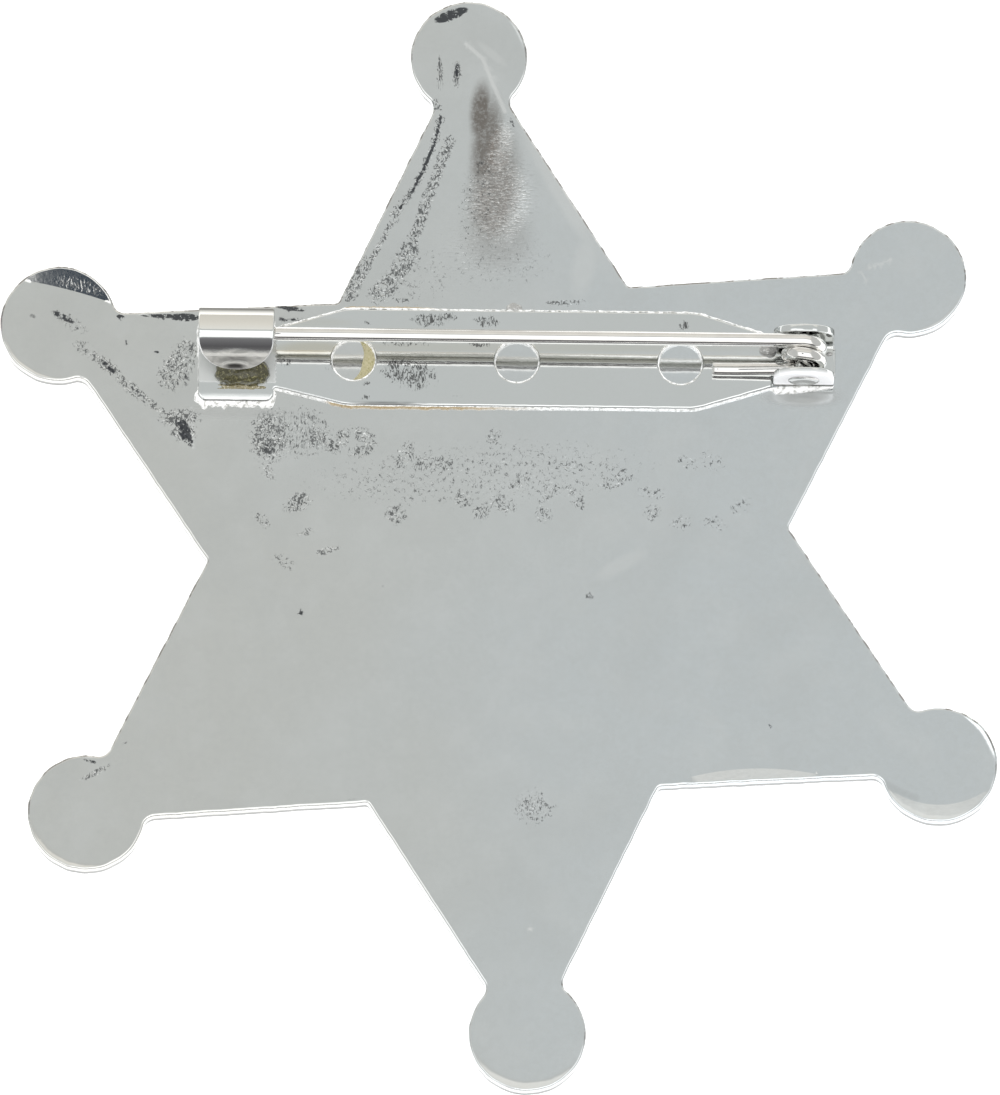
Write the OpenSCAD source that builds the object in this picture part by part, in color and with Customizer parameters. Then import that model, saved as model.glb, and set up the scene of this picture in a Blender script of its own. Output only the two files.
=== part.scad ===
// Six-pointed star badge with ball tips, seen from its back, with a bar pin bonded across it.
// Origin: centre of the star, on the surface that the badge lies on, front down. +Z up, +Y to the top arm.

/* [Star plate] */
// Distance from the centre to where the edges of a side arm would meet
arm_reach = 30.35; // [24:0.05:40]
// Distance from the centre to the inner corner between two arms
notch_reach = 17.35; // [14:0.05:22]
// Height of the star over that of an even star of the same width
star_tall = 1.0235; // [1:0.0005:1.05]
// Turn of the star against the pin bar, anticlockwise seen from the back
star_turn = 4; // [0:0.1:6]
// Thickness of the star's sheet
plate_t = 1.2; // [0.8:0.05:2]
// Radius in the inner corners between the arms
notch_round = 0.3; // [0.15:0.05:1]

/* [Ball tips] */
// Distance from the centre to a side arm's ball
ball_reach = 29.33; // [23:0.01:38]
// Diameter of a ball tip
ball_d = 7; // [6:0.1:8]
// How far a ball is domed out of the front face
dome_rise = 1.3; // [0.8:0.05:2]
// Width of the ledge round a dome
dome_ledge = 0.1; // [0.05:0.05:0.4]
// Diameter of the flat at the top of a dome, where the badge rests
seat_d = 1.2; // [0.6:0.1:2]
// Width of the plain rim round a ball's dished back
dish_rim = 0.45; // [0.2:0.05:0.8]
// Depth of a ball's dished back
dish_deep = 0.35; // [0.2:0.05:0.6]
// Radius in the neck between a ball and its arm
neck_round = 0.75; // [0.4:0.05:1.2]

/* [Pin bar] */
// Length of the bar
bar_len = 38; // [34:0.5:44]
// Width of the bar's middle
bar_w = 5.9; // [5:0.1:7]
// Thickness of the bar's sheet
bar_t = 0.45; // [0.35:0.05:0.55]
// Distance of the bar's centre line above the star's centre
bar_y = 11.3; // [8:0.05:12]
// Shift of the bar's middle towards the hinge
bar_shift = 1; // [0:0.05:3]
// Width of the neck beside the catch
neck_w = 3.6; // [3:0.1:4]
// Length of the widening beside the catch
catch_flare = 4.3; // [2:0.1:6]
// Length of the narrowing beside the hinge
hinge_flare = 4.6; // [2:0.1:6]
// Diameter of the holes along the bar
hole_d = 2.6; // [1.5:0.1:3.5]
// Distance between the holes
hole_pitch = 9.75; // [8:0.05:10.5]
// Distance of the holes' line below the bar's centre line
hole_drop = 0.15; // [0:0.05:0.4]
// Inside radius of the bends at the catch and the ears
bend_in = 0.25; // [0.2:0.05:0.4]
// Thickness of the bond under the bar
bond_gap = 0.05; // [0.02:0.01:0.1]

/* [Catch] */
// Width of the catch along the bar
catch_w = 4.5; // [3.5:0.1:5.5]
// Depth of the catch's foot across the bar
catch_foot = 5; // [4.8:0.05:5.8]
// Corner radius of the catch's foot
foot_round = 0.5; // [0.2:0.05:1]
// Outside radius of the catch's curl
curl_r = 1.95; // [1.7:0.05:2.1]
// Distance from the closed pin to the curl's centre, towards the catch's open side
curl_shift = 0.2; // [0:0.05:0.4]
// Angle that the tongue reaches past the top of the curl
tongue_past = 76; // [60:1:85]
// Gap between the closed pin and the inside of the curl
catch_gap = 0.1; // [0.05:0.01:0.2]

/* [Hinge ears and rivet] */
// Width of an ear along the bar
ear_w = 3.6; // [3:0.1:4.4]
// Length of the bar past the ears
end_past_ear = 0.1; // [0:0.05:0.6]
// Corner radius of an ear
ear_round = 1.4; // [0.8:0.05:1.45]
// Height of an ear over the top of the coil
ear_over = 0; // [0:0.05:0.4]
// Diameter of the rivet's shank
rivet_d = 1; // [0.8:0.05:1.2]
// Diameter of the rivet's heads
head_d = 1.9; // [1.6:0.05:2.2]
// Thickness of the rivet's heads
head_t = 0.15; // [0.1:0.01:0.3]
// Clearance round the rivet's shank in the ears and under its heads
rivet_gap = 0.03; // [0.02:0.01:0.05]

/* [Pin wire] */
// Diameter of the pin's wire
wire_d = 0.82; // [0.6:0.02:0.9]
// Clearance between the coil and the rivet
coil_gap = 0.06; // [0.04:0.01:0.1]
// Gap between neighbouring turns of the coil
turn_gap = 0.02; // [0.02:0.01:0.1]
// Gap between the coil and an ear
side_gap = 0.05; // [0.05:0.01:0.15]
// Height of the coil over the bends beside it
coil_lift = 0.15; // [0.05:0.01:0.3]
// Length of the coil's tail from the rivet
tail_len = 5.4; // [4:0.1:6]
// Gap under the end of the tail
tail_gap = 0.04; // [0.02:0.01:0.1]
// Distance from the end of the bar to the pin's point
point_inset = 1.05; // [0.6:0.05:2]
// Radius of the pin's point
point_r = 0.07; // [0.05:0.01:0.1]

/* [Hidden] */
$fn = 96;

// Arms, counted anticlockwise from the right
arm_count = 6;
arm_step = 360 / arm_count;
// How far a fillet's filler is sunk into what it joins
sink = 0.05;
// How far a cut runs past the solid that it cuts
past = 1;

// Heights
front_z = dome_rise;
back_z = front_z + plate_t;
foot_z = back_z + bond_gap;
bar_z = foot_z + bar_t;

// Ball tips
ball_r = ball_d / 2;
seat_r = seat_d / 2;
dome_edge = ball_r - dome_ledge;
dome_c = (dome_edge * dome_edge - seat_r * seat_r + front_z * front_z) / (2 * front_z);
dome_r = sqrt(seat_r * seat_r + dome_c * dome_c);
dish_r = ball_r - dish_rim;
dish_ball = (dish_r * dish_r + dish_deep * dish_deep) / (2 * dish_deep);

// Coil, rivet and stem
wire_r = wire_d / 2;
rivet_r = rivet_d / 2;
coil_r = rivet_r + coil_gap + wire_r;
turn_pitch = wire_d + turn_gap;
coil_turns = 1.5;
hinge_x = bar_shift + bar_len / 2 - end_past_ear - ear_w / 2;
hinge_z = bar_z + bend_in + coil_lift + wire_r + coil_r;
stem_y = bar_y + turn_pitch * coil_turns / 2;
stem_z = hinge_z + coil_r;

// Ears
bend_out = bend_in + bar_t;
ear_half = turn_pitch * coil_turns / 2 + wire_r + side_gap;
pad_half = ear_half + bar_t;
ear_x = hinge_x - ear_w / 2;
ear_top = stem_z + wire_r + ear_over;

// Catch
bar_x0 = bar_shift - bar_len / 2;
bar_x1 = bar_shift + bar_len / 2;
catch_x1 = bar_x0 + catch_w;
curl_in = curl_r - bar_t;
curl_y = stem_y - curl_shift;
curl_z = stem_z - sqrt(pow(curl_in - wire_r - catch_gap, 2) - pow(curl_shift, 2));
wall_y = curl_y + curl_r;
foot_y = wall_y - catch_foot;
neck_top = wall_y - bend_out;

// Straight part of the pin: its full wire ends clear of the catch and of the ears
stem_clear = 0.3;
stem_x0 = catch_x1 + stem_clear;
stem_x1 = ear_x - stem_clear;
point_x = bar_x0 + point_inset;

// Wound wire: a little thinner than the stem, so that it starts inside it
wound_r = wire_r - 0.01;
wound_sides = 16;
coil_steps = 40;

function unit(v) = v / norm(v);

// Corners of the star, in its own upright frame
function star_point(reach, angle) = [reach * cos(angle), star_tall * reach * sin(angle)];
function arm_angle(arm) = arm_step * arm + arm_step / 2;
function arm_tip(arm) = star_point(arm_reach, arm_angle(arm));
function arm_ball(arm) = star_point(ball_reach, arm_angle(arm));
function notch(arm, side) = star_point(notch_reach, arm_angle(arm) + side * arm_step / 2);

// Centre of the circle that blends an arm's edge into its ball
function edge_way(arm, side) = unit(arm_tip(arm) - notch(arm, side));
function edge_out(arm, side) = side * [-edge_way(arm, side)[1], edge_way(arm, side)[0]];
function neck_start(arm, side) = notch(arm, side) + neck_round * edge_out(arm, side) - arm_ball(arm);
function neck_run(way, start) =
    -way * start - sqrt(pow(way * start, 2) - start * start + pow(ball_r + neck_round, 2));
function neck_foot(arm, side) =
    notch(arm, side)
    + edge_way(arm, side) * neck_run(edge_way(arm, side), neck_start(arm, side));
function neck_centre(arm, side) = neck_foot(arm, side) + neck_round * edge_out(arm, side);

// Centre of the circle that rounds an inner corner
function notch_way(arm, side) = unit(arm_tip(arm) - notch(arm, side));
function notch_ways(arm) = [notch_way(arm, 1), notch_way(arm + 1, -1)];
function notch_centre(corner, ways) =
    corner + unit(ways[0] + ways[1]) * notch_round / (norm(ways[0] - ways[1]) / 2);

module neck_fillet(arm, side) {
    centre = neck_centre(arm, side);
    foot = neck_foot(arm, side) - sink * edge_out(arm, side);
    difference() {
        polygon([foot, centre, arm_ball(arm)]);
        translate(centre) circle(r = neck_round);
    }
}

module notch_fillet(arm) {
    corner = notch(arm, 1);
    ways = notch_ways(arm);
    centre = notch_centre(corner, ways);
    run = norm(centre - corner) * cos(acos(ways[0] * ways[1]) / 2);
    inward = -sink * unit(corner);
    difference() {
        polygon([corner + run * ways[0] + inward, corner + 2 * inward, corner + run * ways[1] + inward, centre]);
        translate(centre) circle(r = notch_round);
    }
}

module star_outline() {
    polygon([for (arm = [0 : arm_count - 1], side = [-1, 0, 1]) side == 0 ? arm_tip(arm) : notch(arm, side)]);
    for (arm = [0 : arm_count - 1]) {
        translate(arm_ball(arm)) circle(r = ball_r);
        notch_fillet(arm);
        for (side = [-1, 1])
            neck_fillet(arm, side);
    }
}

module at_balls() {
    for (arm = [0 : arm_count - 1])
        translate(arm_ball(arm)) children();
}

// Domed front of a ball, with its top cut flat at the seat
module ball_dome() {
    intersection() {
        translate([0, 0, dome_c]) sphere(r = dome_r);
        cylinder(r = ball_r + past, h = front_z);
    }
}

module ball_dish() {
    translate([0, 0, back_z + dish_ball - dish_deep]) sphere(r = dish_ball);
}

module star() {
    color("silver")
    rotate([0, 0, star_turn])
    difference() {
        union() {
            translate([0, 0, front_z]) linear_extrude(plate_t) star_outline();
            at_balls() ball_dome();
        }
        at_balls() ball_dish();
    }
}

// Part of a ring of sheet round a line along X, from angle a0 to a1, counted from +Y towards +Z
module sheet_bend(inside, width, a0, a1) {
    rotate([90, 0, 90])
        rotate_extrude(angle = a1 - a0, start = a0)
            translate([inside, 0]) square([bar_t, width]);
}

module foot_plan() {
    width = catch_foot - bend_out;
    translate([bar_x0, foot_y + foot_round]) square([catch_w, width - foot_round]);
    translate([bar_x0 + foot_round, foot_y]) square([catch_w - 2 * foot_round, width]);
    for (x = [bar_x0 + foot_round, catch_x1 - foot_round])
        translate([x, foot_y + foot_round]) circle(r = foot_round);
}

// Half of the bar's outline, from the catch's neck to the hinge end
function bar_side(side, neck_y) = [
    [catch_x1 - foot_round, neck_y],
    [catch_x1, neck_y],
    [catch_x1 + catch_flare, bar_y + side * bar_w / 2],
    [ear_x - hinge_flare, bar_y + side * bar_w / 2],
    [ear_x, bar_y + side * pad_half],
    [ear_x, bar_y + side * (pad_half - bend_out)],
    [bar_x1, bar_y + side * (pad_half - bend_out)]
];
function backwards(list) = [for (i = [len(list) - 1 : -1 : 0]) list[i]];

module bar_plan() {
    polygon(concat(bar_side(-1, neck_top - neck_w), backwards(bar_side(1, neck_top))));
    foot_plan();
}

// The tongue seen square to its end: a strip with a round end
module tongue_plan(reach) {
    translate([0, -curl_r - past]) square([catch_w, reach + curl_r + past - catch_w / 2]);
    translate([catch_w / 2, reach - catch_w / 2]) circle(d = catch_w);
}

module catch_curl() {
    look = tongue_past / 2;
    reach = curl_r * sin(tongue_past - look);
    translate([bar_x0, curl_y, curl_z])
    intersection() {
        sheet_bend(curl_in, catch_w, 0, 90 + tongue_past);
        rotate([look, 0, 0])
        translate([0, 0, -curl_r - past])
        linear_extrude(2 * (curl_r + past))
        mirror([0, 1, 0]) tongue_plan(reach);
    }
}

module catch_hook() {
    translate([bar_x0, wall_y - bend_out, foot_z + bend_out])
        sheet_bend(bend_in, catch_w, -90, 0);
    translate([bar_x0, wall_y - bar_t, foot_z + bend_out])
        cube([catch_w, bar_t, curl_z - foot_z - bend_out]);
    catch_curl();
}

module ear_plan() {
    height = ear_top - foot_z - bend_out;
    square([ear_w, height - ear_round]);
    translate([ear_round, 0]) square([ear_w - 2 * ear_round, height]);
    for (x = [ear_round, ear_w - ear_round])
        translate([x, height - ear_round]) circle(r = ear_round);
}

// One ear, on the +Y side of the hinge's middle
module ear() {
    translate([ear_x, pad_half - bend_out, foot_z + bend_out])
        sheet_bend(bend_in, ear_w, -90, 0);
    translate([ear_x, pad_half, foot_z + bend_out])
        rotate([90, 0, 0])
            linear_extrude(bar_t) ear_plan();
}

module pin_bar() {
    color("lightgray")
    difference() {
        union() {
            translate([0, 0, foot_z]) linear_extrude(bar_t) bar_plan();
            catch_hook();
            translate([0, bar_y, 0]) {
                ear();
                mirror([0, 1, 0]) ear();
            }
        }
        for (i = [-1 : 1])
            translate([bar_shift + i * hole_pitch, bar_y - hole_drop, foot_z - past])
                cylinder(d = hole_d, h = bar_t + 2 * past);
        translate([hinge_x, bar_y + pad_half + past, hinge_z])
            rotate([90, 0, 0])
                cylinder(r = rivet_r + rivet_gap, h = 2 * (pad_half + past));
    }
}

// Shank and two flat heads, each with a sloped rim
module rivet() {
    half = pad_half + rivet_gap;
    color("gray")
    translate([hinge_x, bar_y, hinge_z])
    rotate([90, 0, 0])
    union() {
        cylinder(r = rivet_r, h = 2 * half, center = true);
        for (side = [0, 1])
            mirror([0, 0, side])
                translate([0, 0, half])
                    cylinder(d1 = head_d, d2 = head_d - 2 * head_t, h = head_t);
    }
}

// Line of the wound wire: out of the stem, round the rivet and along the tail
function coil_point(turn) = [
    hinge_x + coil_r * sin(turn),
    stem_y - turn_pitch * turn / 360,
    hinge_z + coil_r * cos(turn)
];
coil_line = [for (i = [0 : coil_steps]) coil_point(i * coil_turns * 360 / coil_steps)];
coil_end = coil_line[coil_steps];
tail_end = [hinge_x - tail_len, coil_end[1], bar_z + wire_r + tail_gap];
wound_line = concat(
    [[stem_x1 - wire_d, stem_y, stem_z], [(stem_x1 + hinge_x) / 2, stem_y, stem_z]],
    coil_line,
    [(2 * coil_end + tail_end) / 3, tail_end]
);

function line_way(line, i) = unit(line[min(i + 1, len(line) - 1)] - line[max(i - 1, 0)]);
function square_to(way) = unit([0, 1, 0] - way[1] * way);
function wire_ring(centre, way) = [
    for (s = [0 : wound_sides - 1])
        let (a = 360 * s / wound_sides, across = square_to(way))
            centre + wound_r * (cos(a) * across + sin(a) * cross(way, across))
];

module wound_wire() {
    rings = [for (i = [0 : len(wound_line) - 1]) wire_ring(wound_line[i], line_way(wound_line, i))];
    last = wound_sides * (len(rings) - 1);
    polyhedron(
        points = [for (ring = rings, p = ring) p],
        faces = concat(
            [[for (s = [0 : wound_sides - 1]) s]],
            [[for (s = [wound_sides - 1 : -1 : 0]) last + s]],
            [
                for (i = [0 : len(rings) - 2], s = [0 : wound_sides - 1])
                    let (a = i * wound_sides + s, b = i * wound_sides + (s + 1) % wound_sides)
                        [a, a + wound_sides, b + wound_sides, b]
            ]
        )
    );
}

module pin() {
    color("gainsboro")
    union() {
        translate([stem_x0, stem_y, stem_z])
            rotate([0, 90, 0])
                cylinder(r = wire_r, h = stem_x1 - stem_x0);
        translate([point_x + point_r, stem_y, stem_z])
            rotate([0, 90, 0])
                cylinder(r1 = point_r, r2 = wire_r, h = stem_x0 - point_x - point_r);
        translate([point_x + point_r, stem_y, stem_z]) sphere(r = point_r);
        wound_wire();
    }
}

star();
pin_bar();
rivet();
pin();
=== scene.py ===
"""Looks of the star badge, lying on its front: plated star, pin bar, hinge rivet, pin wire and the bond."""

import math
import random

import bmesh
import bpy
import numpy as np
from mathutils import Matrix, Vector, noise
from mathutils.geometry import delaunay_2d_cdt


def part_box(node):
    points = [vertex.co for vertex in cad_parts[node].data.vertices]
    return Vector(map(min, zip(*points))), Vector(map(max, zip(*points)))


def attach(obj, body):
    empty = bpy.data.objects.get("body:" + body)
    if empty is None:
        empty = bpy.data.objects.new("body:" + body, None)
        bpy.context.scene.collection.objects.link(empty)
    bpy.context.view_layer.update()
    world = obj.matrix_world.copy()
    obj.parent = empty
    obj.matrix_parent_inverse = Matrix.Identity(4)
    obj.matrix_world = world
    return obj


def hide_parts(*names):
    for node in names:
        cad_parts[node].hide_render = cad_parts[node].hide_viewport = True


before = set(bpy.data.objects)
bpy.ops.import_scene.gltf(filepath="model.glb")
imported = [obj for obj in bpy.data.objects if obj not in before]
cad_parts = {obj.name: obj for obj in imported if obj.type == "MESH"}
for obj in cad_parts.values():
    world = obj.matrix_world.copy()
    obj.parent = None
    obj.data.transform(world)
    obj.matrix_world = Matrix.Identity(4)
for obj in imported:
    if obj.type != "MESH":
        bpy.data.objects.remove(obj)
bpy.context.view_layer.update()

MM = 0.001


# Sizes of the metal, in millimetres: heights and ends come from the frame

def box_mm(node):
    """A solid's lowest and highest corners in the frame, in millimetres."""
    low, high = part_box(node)
    return np.array(low) / MM, np.array(high) / MM


_, STAR_HIGH = box_mm("star")
BAR_LOW, BAR_HIGH = box_mm("pin_bar")
WIRE_LOW, WIRE_HIGH = box_mm("pin")

ARM_REACH, NOTCH_REACH, STAR_TALL, STAR_TURN = 30.35, 17.35, 1.0235, 4.0
BALL_REACH, BALL_R, NECK_ROUND, NOTCH_ROUND = 29.33, 3.5, 0.75, 0.3
PLATE_T = 1.2
BACK_Z = STAR_HIGH[2]
FRONT_Z = BACK_Z - PLATE_T
DOME_EDGE, SEAT_R = 3.4, 0.6

BAR_T = 0.45
FOOT_Z = BAR_LOW[2]
BAR_Z = FOOT_Z + BAR_T
BAR_X0, BAR_X1 = BAR_LOW[0], BAR_HIGH[0]
BAR_Y = (BAR_LOW[1] + BAR_HIGH[1]) / 2
BAR_W = BAR_HIGH[1] - BAR_LOW[1]
NECK_W, CATCH_FLARE, HINGE_FLARE = 3.6, 4.3, 4.6
HOLE_R, HOLE_PITCH, HOLE_DROP = 1.3, 9.75, 0.15
BEND_IN = 0.25
BEND_MID = BEND_IN + BAR_T / 2
BEND_OUT = BEND_IN + BAR_T

WIRE_R, COIL_R, TURN_PITCH, COIL_TURNS = 0.41, 0.97, 0.84, 1.5
EAR_W, EAR_ROUND, END_PAST_EAR, SIDE_GAP = 3.6, 1.4, 0.1, 0.05
HINGE_X = BAR_X1 - END_PAST_EAR - EAR_W / 2
STEM_Z = WIRE_HIGH[2] - WIRE_R
HINGE_Z = STEM_Z - COIL_R
STEM_Y = BAR_Y + TURN_PITCH * COIL_TURNS / 2
EAR_X = HINGE_X - EAR_W / 2
PAD_HALF = TURN_PITCH * COIL_TURNS / 2 + WIRE_R + SIDE_GAP + BAR_T
EAR_TOP = STEM_Z + WIRE_R

CATCH_W, CATCH_FOOT, FOOT_ROUND = 4.5, 5.0, 0.5
CURL_R, CURL_SHIFT, TONGUE_PAST = 1.95, 0.2, 76
CATCH_X1 = BAR_X0 + CATCH_W
CURL_Y = STEM_Y - CURL_SHIFT
CURL_Z = BAR_HIGH[2] - CURL_R
CURL_MID = CURL_R - BAR_T / 2
WALL_Y = CURL_Y + CURL_R
FOOT_Y = WALL_Y - CATCH_FOOT
FOOT_LIP = 0.15
NECK_TOP = WALL_Y - BEND_OUT
EAR_BEND = PAD_HALF - BEND_OUT

# The photograph's view: its scale, the star's centre in it, its tilt and its roll
PHOTO_W, PHOTO_H = 1000, 1095
PIXEL = 0.0596
STAR_PX = (498.0, 544.0)
ELEVATION = math.radians(76)
ROLL = math.radians(0.7)
CAMERA_FAR = 2.0
SENSOR = 36.0


def seen(px, py, height=BACK_Z):
    """Point on the badge, in millimetres, that the photograph shows at a pixel."""
    across = (px - STAR_PX[0]) * PIXEL
    up = (STAR_PX[1] - py) * PIXEL
    up = (up - (height - BACK_Z) * math.cos(ELEVATION)) / math.sin(ELEVATION)
    return np.array((
        across * math.cos(ROLL) - up * math.sin(ROLL),
        across * math.sin(ROLL) + up * math.cos(ROLL),
    ))


# Outlines

def unit(v):
    """A vector's direction."""
    return v / np.linalg.norm(v)


def towards(degrees):
    """Unit vector at an angle from +X."""
    return np.array((math.cos(math.radians(degrees)), math.sin(math.radians(degrees))))


def round_points(centre, radius, turns):
    """Points on a circle, at turns in radians."""
    return centre + radius * np.column_stack((np.cos(turns), np.sin(turns)))


def arc(centre, start, end, way, step):
    """Points from start round centre to just before end. way is 1 anticlockwise, -1 clockwise."""
    a0 = math.atan2(start[1] - centre[1], start[0] - centre[0])
    a1 = math.atan2(end[1] - centre[1], end[0] - centre[0])
    sweep = ((a1 - a0) * way) % (2 * math.pi)
    radius = np.linalg.norm(start - centre)
    count = max(2, math.ceil(radius * sweep / step))
    return round_points(centre, radius, a0 + way * sweep * np.arange(count) / count)


def line(start, end, step):
    """Points from start to just before end."""
    count = max(1, math.ceil(np.linalg.norm(end - start) / step))
    return start + (end - start) * np.arange(count)[:, None] / count


def rounded(corners, step):
    """Closed outline through (x, y, radius) corners, each rounded to its radius."""
    points = np.array([c[:2] for c in corners], float)
    parts, ends = [], []
    for i, (x, y, radius) in enumerate(corners):
        corner = points[i]
        back = unit(points[i - 1] - corner)
        ahead = unit(points[(i + 1) % len(corners)] - corner)
        turn = ahead[0] * back[1] - ahead[1] * back[0]
        half = math.acos(max(-1.0, min(1.0, back @ ahead))) / 2
        if radius == 0 or abs(turn) < 1e-6:
            parts.append([corner])
            ends.append((corner, corner))
            continue
        run = radius / math.tan(half)
        centre = corner + unit(back + ahead) * radius / math.sin(half)
        start, end = corner + back * run, corner + ahead * run
        bend = arc(centre, start, end, 1 if turn > 0 else -1, step / 3)
        parts.append(list(bend) + [end])
        ends.append((start, end))
    outline = []
    for i, part in enumerate(parts):
        outline += part[:-1]
        outline += list(line(part[-1], ends[(i + 1) % len(ends)][0], step))
    return np.array(outline)


def outward(ring):
    """Unit vectors out of the metal at each point of a ring that has the metal on its left."""
    ahead = np.roll(ring, -1, axis=0) - ring
    ahead /= np.linalg.norm(ahead, axis=1)[:, None]
    out = np.column_stack((ahead[:, 1], -ahead[:, 0]))
    out = out + np.roll(out, 1, axis=0)
    return out / np.linalg.norm(out, axis=1)[:, None]


def inside(points, rings):
    """Which points lie inside the rings, counting holes."""
    x, y = points[:, 0:1], points[:, 1:2]
    found = np.zeros(len(points), bool)
    for ring in rings:
        a, b = ring, np.roll(ring, -1, axis=0)
        crosses = (a[:, 1] > y) != (b[:, 1] > y)
        rise = np.where(b[:, 1] == a[:, 1], 1.0, b[:, 1] - a[:, 1])
        at = a[:, 0] + (y - a[:, 1]) * (b[:, 0] - a[:, 0]) / rise
        found ^= (np.count_nonzero(crosses & (x < at), axis=1) % 2).astype(bool)
    return found


def clear_of(points, rings, gap):
    """The points that lie inside the rings and at least gap from them."""
    points = points[inside(points, rings)]
    edge = np.concatenate(rings)
    near = [
        np.min(np.linalg.norm(points[i:i + 500, None] - edge[None], axis=2), axis=1)
        for i in range(0, len(points), 500)
    ]
    return points[np.concatenate(near) > gap]


def lattice(low, high, step):
    """Points of a triangular lattice over a rectangle."""
    rows = np.arange(low[1], high[1], step * 0.866)
    columns = np.arange(low[0], high[0], step)
    x, y = np.meshgrid(columns, rows)
    x = x + (np.arange(len(rows)) % 2)[:, None] * step / 2
    return np.column_stack((x.ravel(), y.ravel()))


# Sheets: two faces and a rounded edge, in plane coordinates with a height

def round_edge(thick, radius, support=0.03, steps=5):
    """(inset, height) pairs from a sheet's upper face round its edge to its lower face."""
    half = thick / 2
    upper = [(radius + support, half)]
    for i in range(steps + 1):
        a = math.pi / 2 * i / steps
        upper.append((radius * (1 - math.sin(a)), half - radius * (1 - math.cos(a))))
    lower = [(inset, -height) for inset, height in reversed(upper)]
    if abs(upper[-1][1] - lower[0][1]) < 1e-9:
        lower = lower[1:]
    return upper + lower


def triangles(rings, points):
    """Triangles over rings and points, as indices into all the rings' points and then the points."""
    flat = np.concatenate(rings + [points]) if len(points) else np.concatenate(rings)
    edges, first = [], 0
    for ring in rings:
        edges += [(first + i, first + (i + 1) % len(ring)) for i in range(len(ring))]
        first += len(ring)
    made = delaunay_2d_cdt([Vector(p) for p in flat], edges, [], 0, 1e-7)
    source = [origin[0] if origin else -1 for origin in made[3]]
    faces = np.array([[source[i] for i in face] for face in made[2]])
    faces = faces[(faces >= 0).all(axis=1)]
    return faces[inside(flat[faces].mean(axis=1), rings)]


def sheet(rings, profile, upper, lower):
    """Vertices (u, v, height) and faces of a sheet whose outline and holes are rings."""
    vertices, faces, starts = [], [], []
    for ring in rings:
        out = outward(ring)
        starts.append(sum(len(v) for v in vertices))
        for inset, height in profile:
            vertices.append(np.column_stack((ring - out * inset, np.full(len(ring), height))))
        count = len(ring)
        for k in range(len(profile) - 1):
            for i in range(count):
                a = starts[-1] + k * count + i
                b = starts[-1] + k * count + (i + 1) % count
                faces.append((a, a + count, b + count, b))
    for level, points, flip in ((0, upper, False), (len(profile) - 1, lower, True)):
        inset, height = profile[level]
        edge = [ring - outward(ring) * inset for ring in rings]
        index = [
            start + level * len(ring) + np.arange(len(ring))
            for start, ring in zip(starts, rings)
        ]
        index.append(sum(len(v) for v in vertices) + np.arange(len(points)))
        index = np.concatenate(index)
        vertices.append(np.column_stack((points, np.full(len(points), height))))
        for face in index[triangles(edge, points)]:
            faces.append(tuple(face[::-1] if flip else face))
    return np.concatenate(vertices), faces


def grid_faces(rows, columns, closed):
    """Quads between neighbouring rows of points. Closed joins the ends of each row."""
    faces = []
    for i in range(rows - 1):
        for k in range(columns if closed else columns - 1):
            a, b = i * columns + k, i * columns + (k + 1) % columns
            faces.append((a, b, b + columns, a + columns))
    return faces


# Blender objects

def piece(name, vertices, faces, material, body, node=None):
    """Smooth-shaded object from vertices in millimetres, riding on a body."""
    mesh = bpy.data.meshes.new(name)
    corners = [tuple(v) for v in np.asarray(vertices) * MM]
    mesh.from_pydata(corners, [], [tuple(map(int, face)) for face in faces])
    work = bmesh.new()
    work.from_mesh(mesh)
    bmesh.ops.recalc_face_normals(work, faces=work.faces)
    work.to_mesh(mesh)
    work.free()
    mesh.polygons.foreach_set("use_smooth", [True] * len(mesh.polygons))
    mesh.materials.append(material)
    made = bpy.data.objects.new(name, mesh)
    bpy.context.scene.collection.objects.link(made)
    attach(made, body)
    if node:
        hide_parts(node)
    return made


def store(made, name, values):
    """Keeps one number for each vertex under a name that a material can read."""
    made.data.attributes.new(name, "FLOAT", "POINT").data.foreach_set("value", np.asarray(values, float))


# Materials

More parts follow.
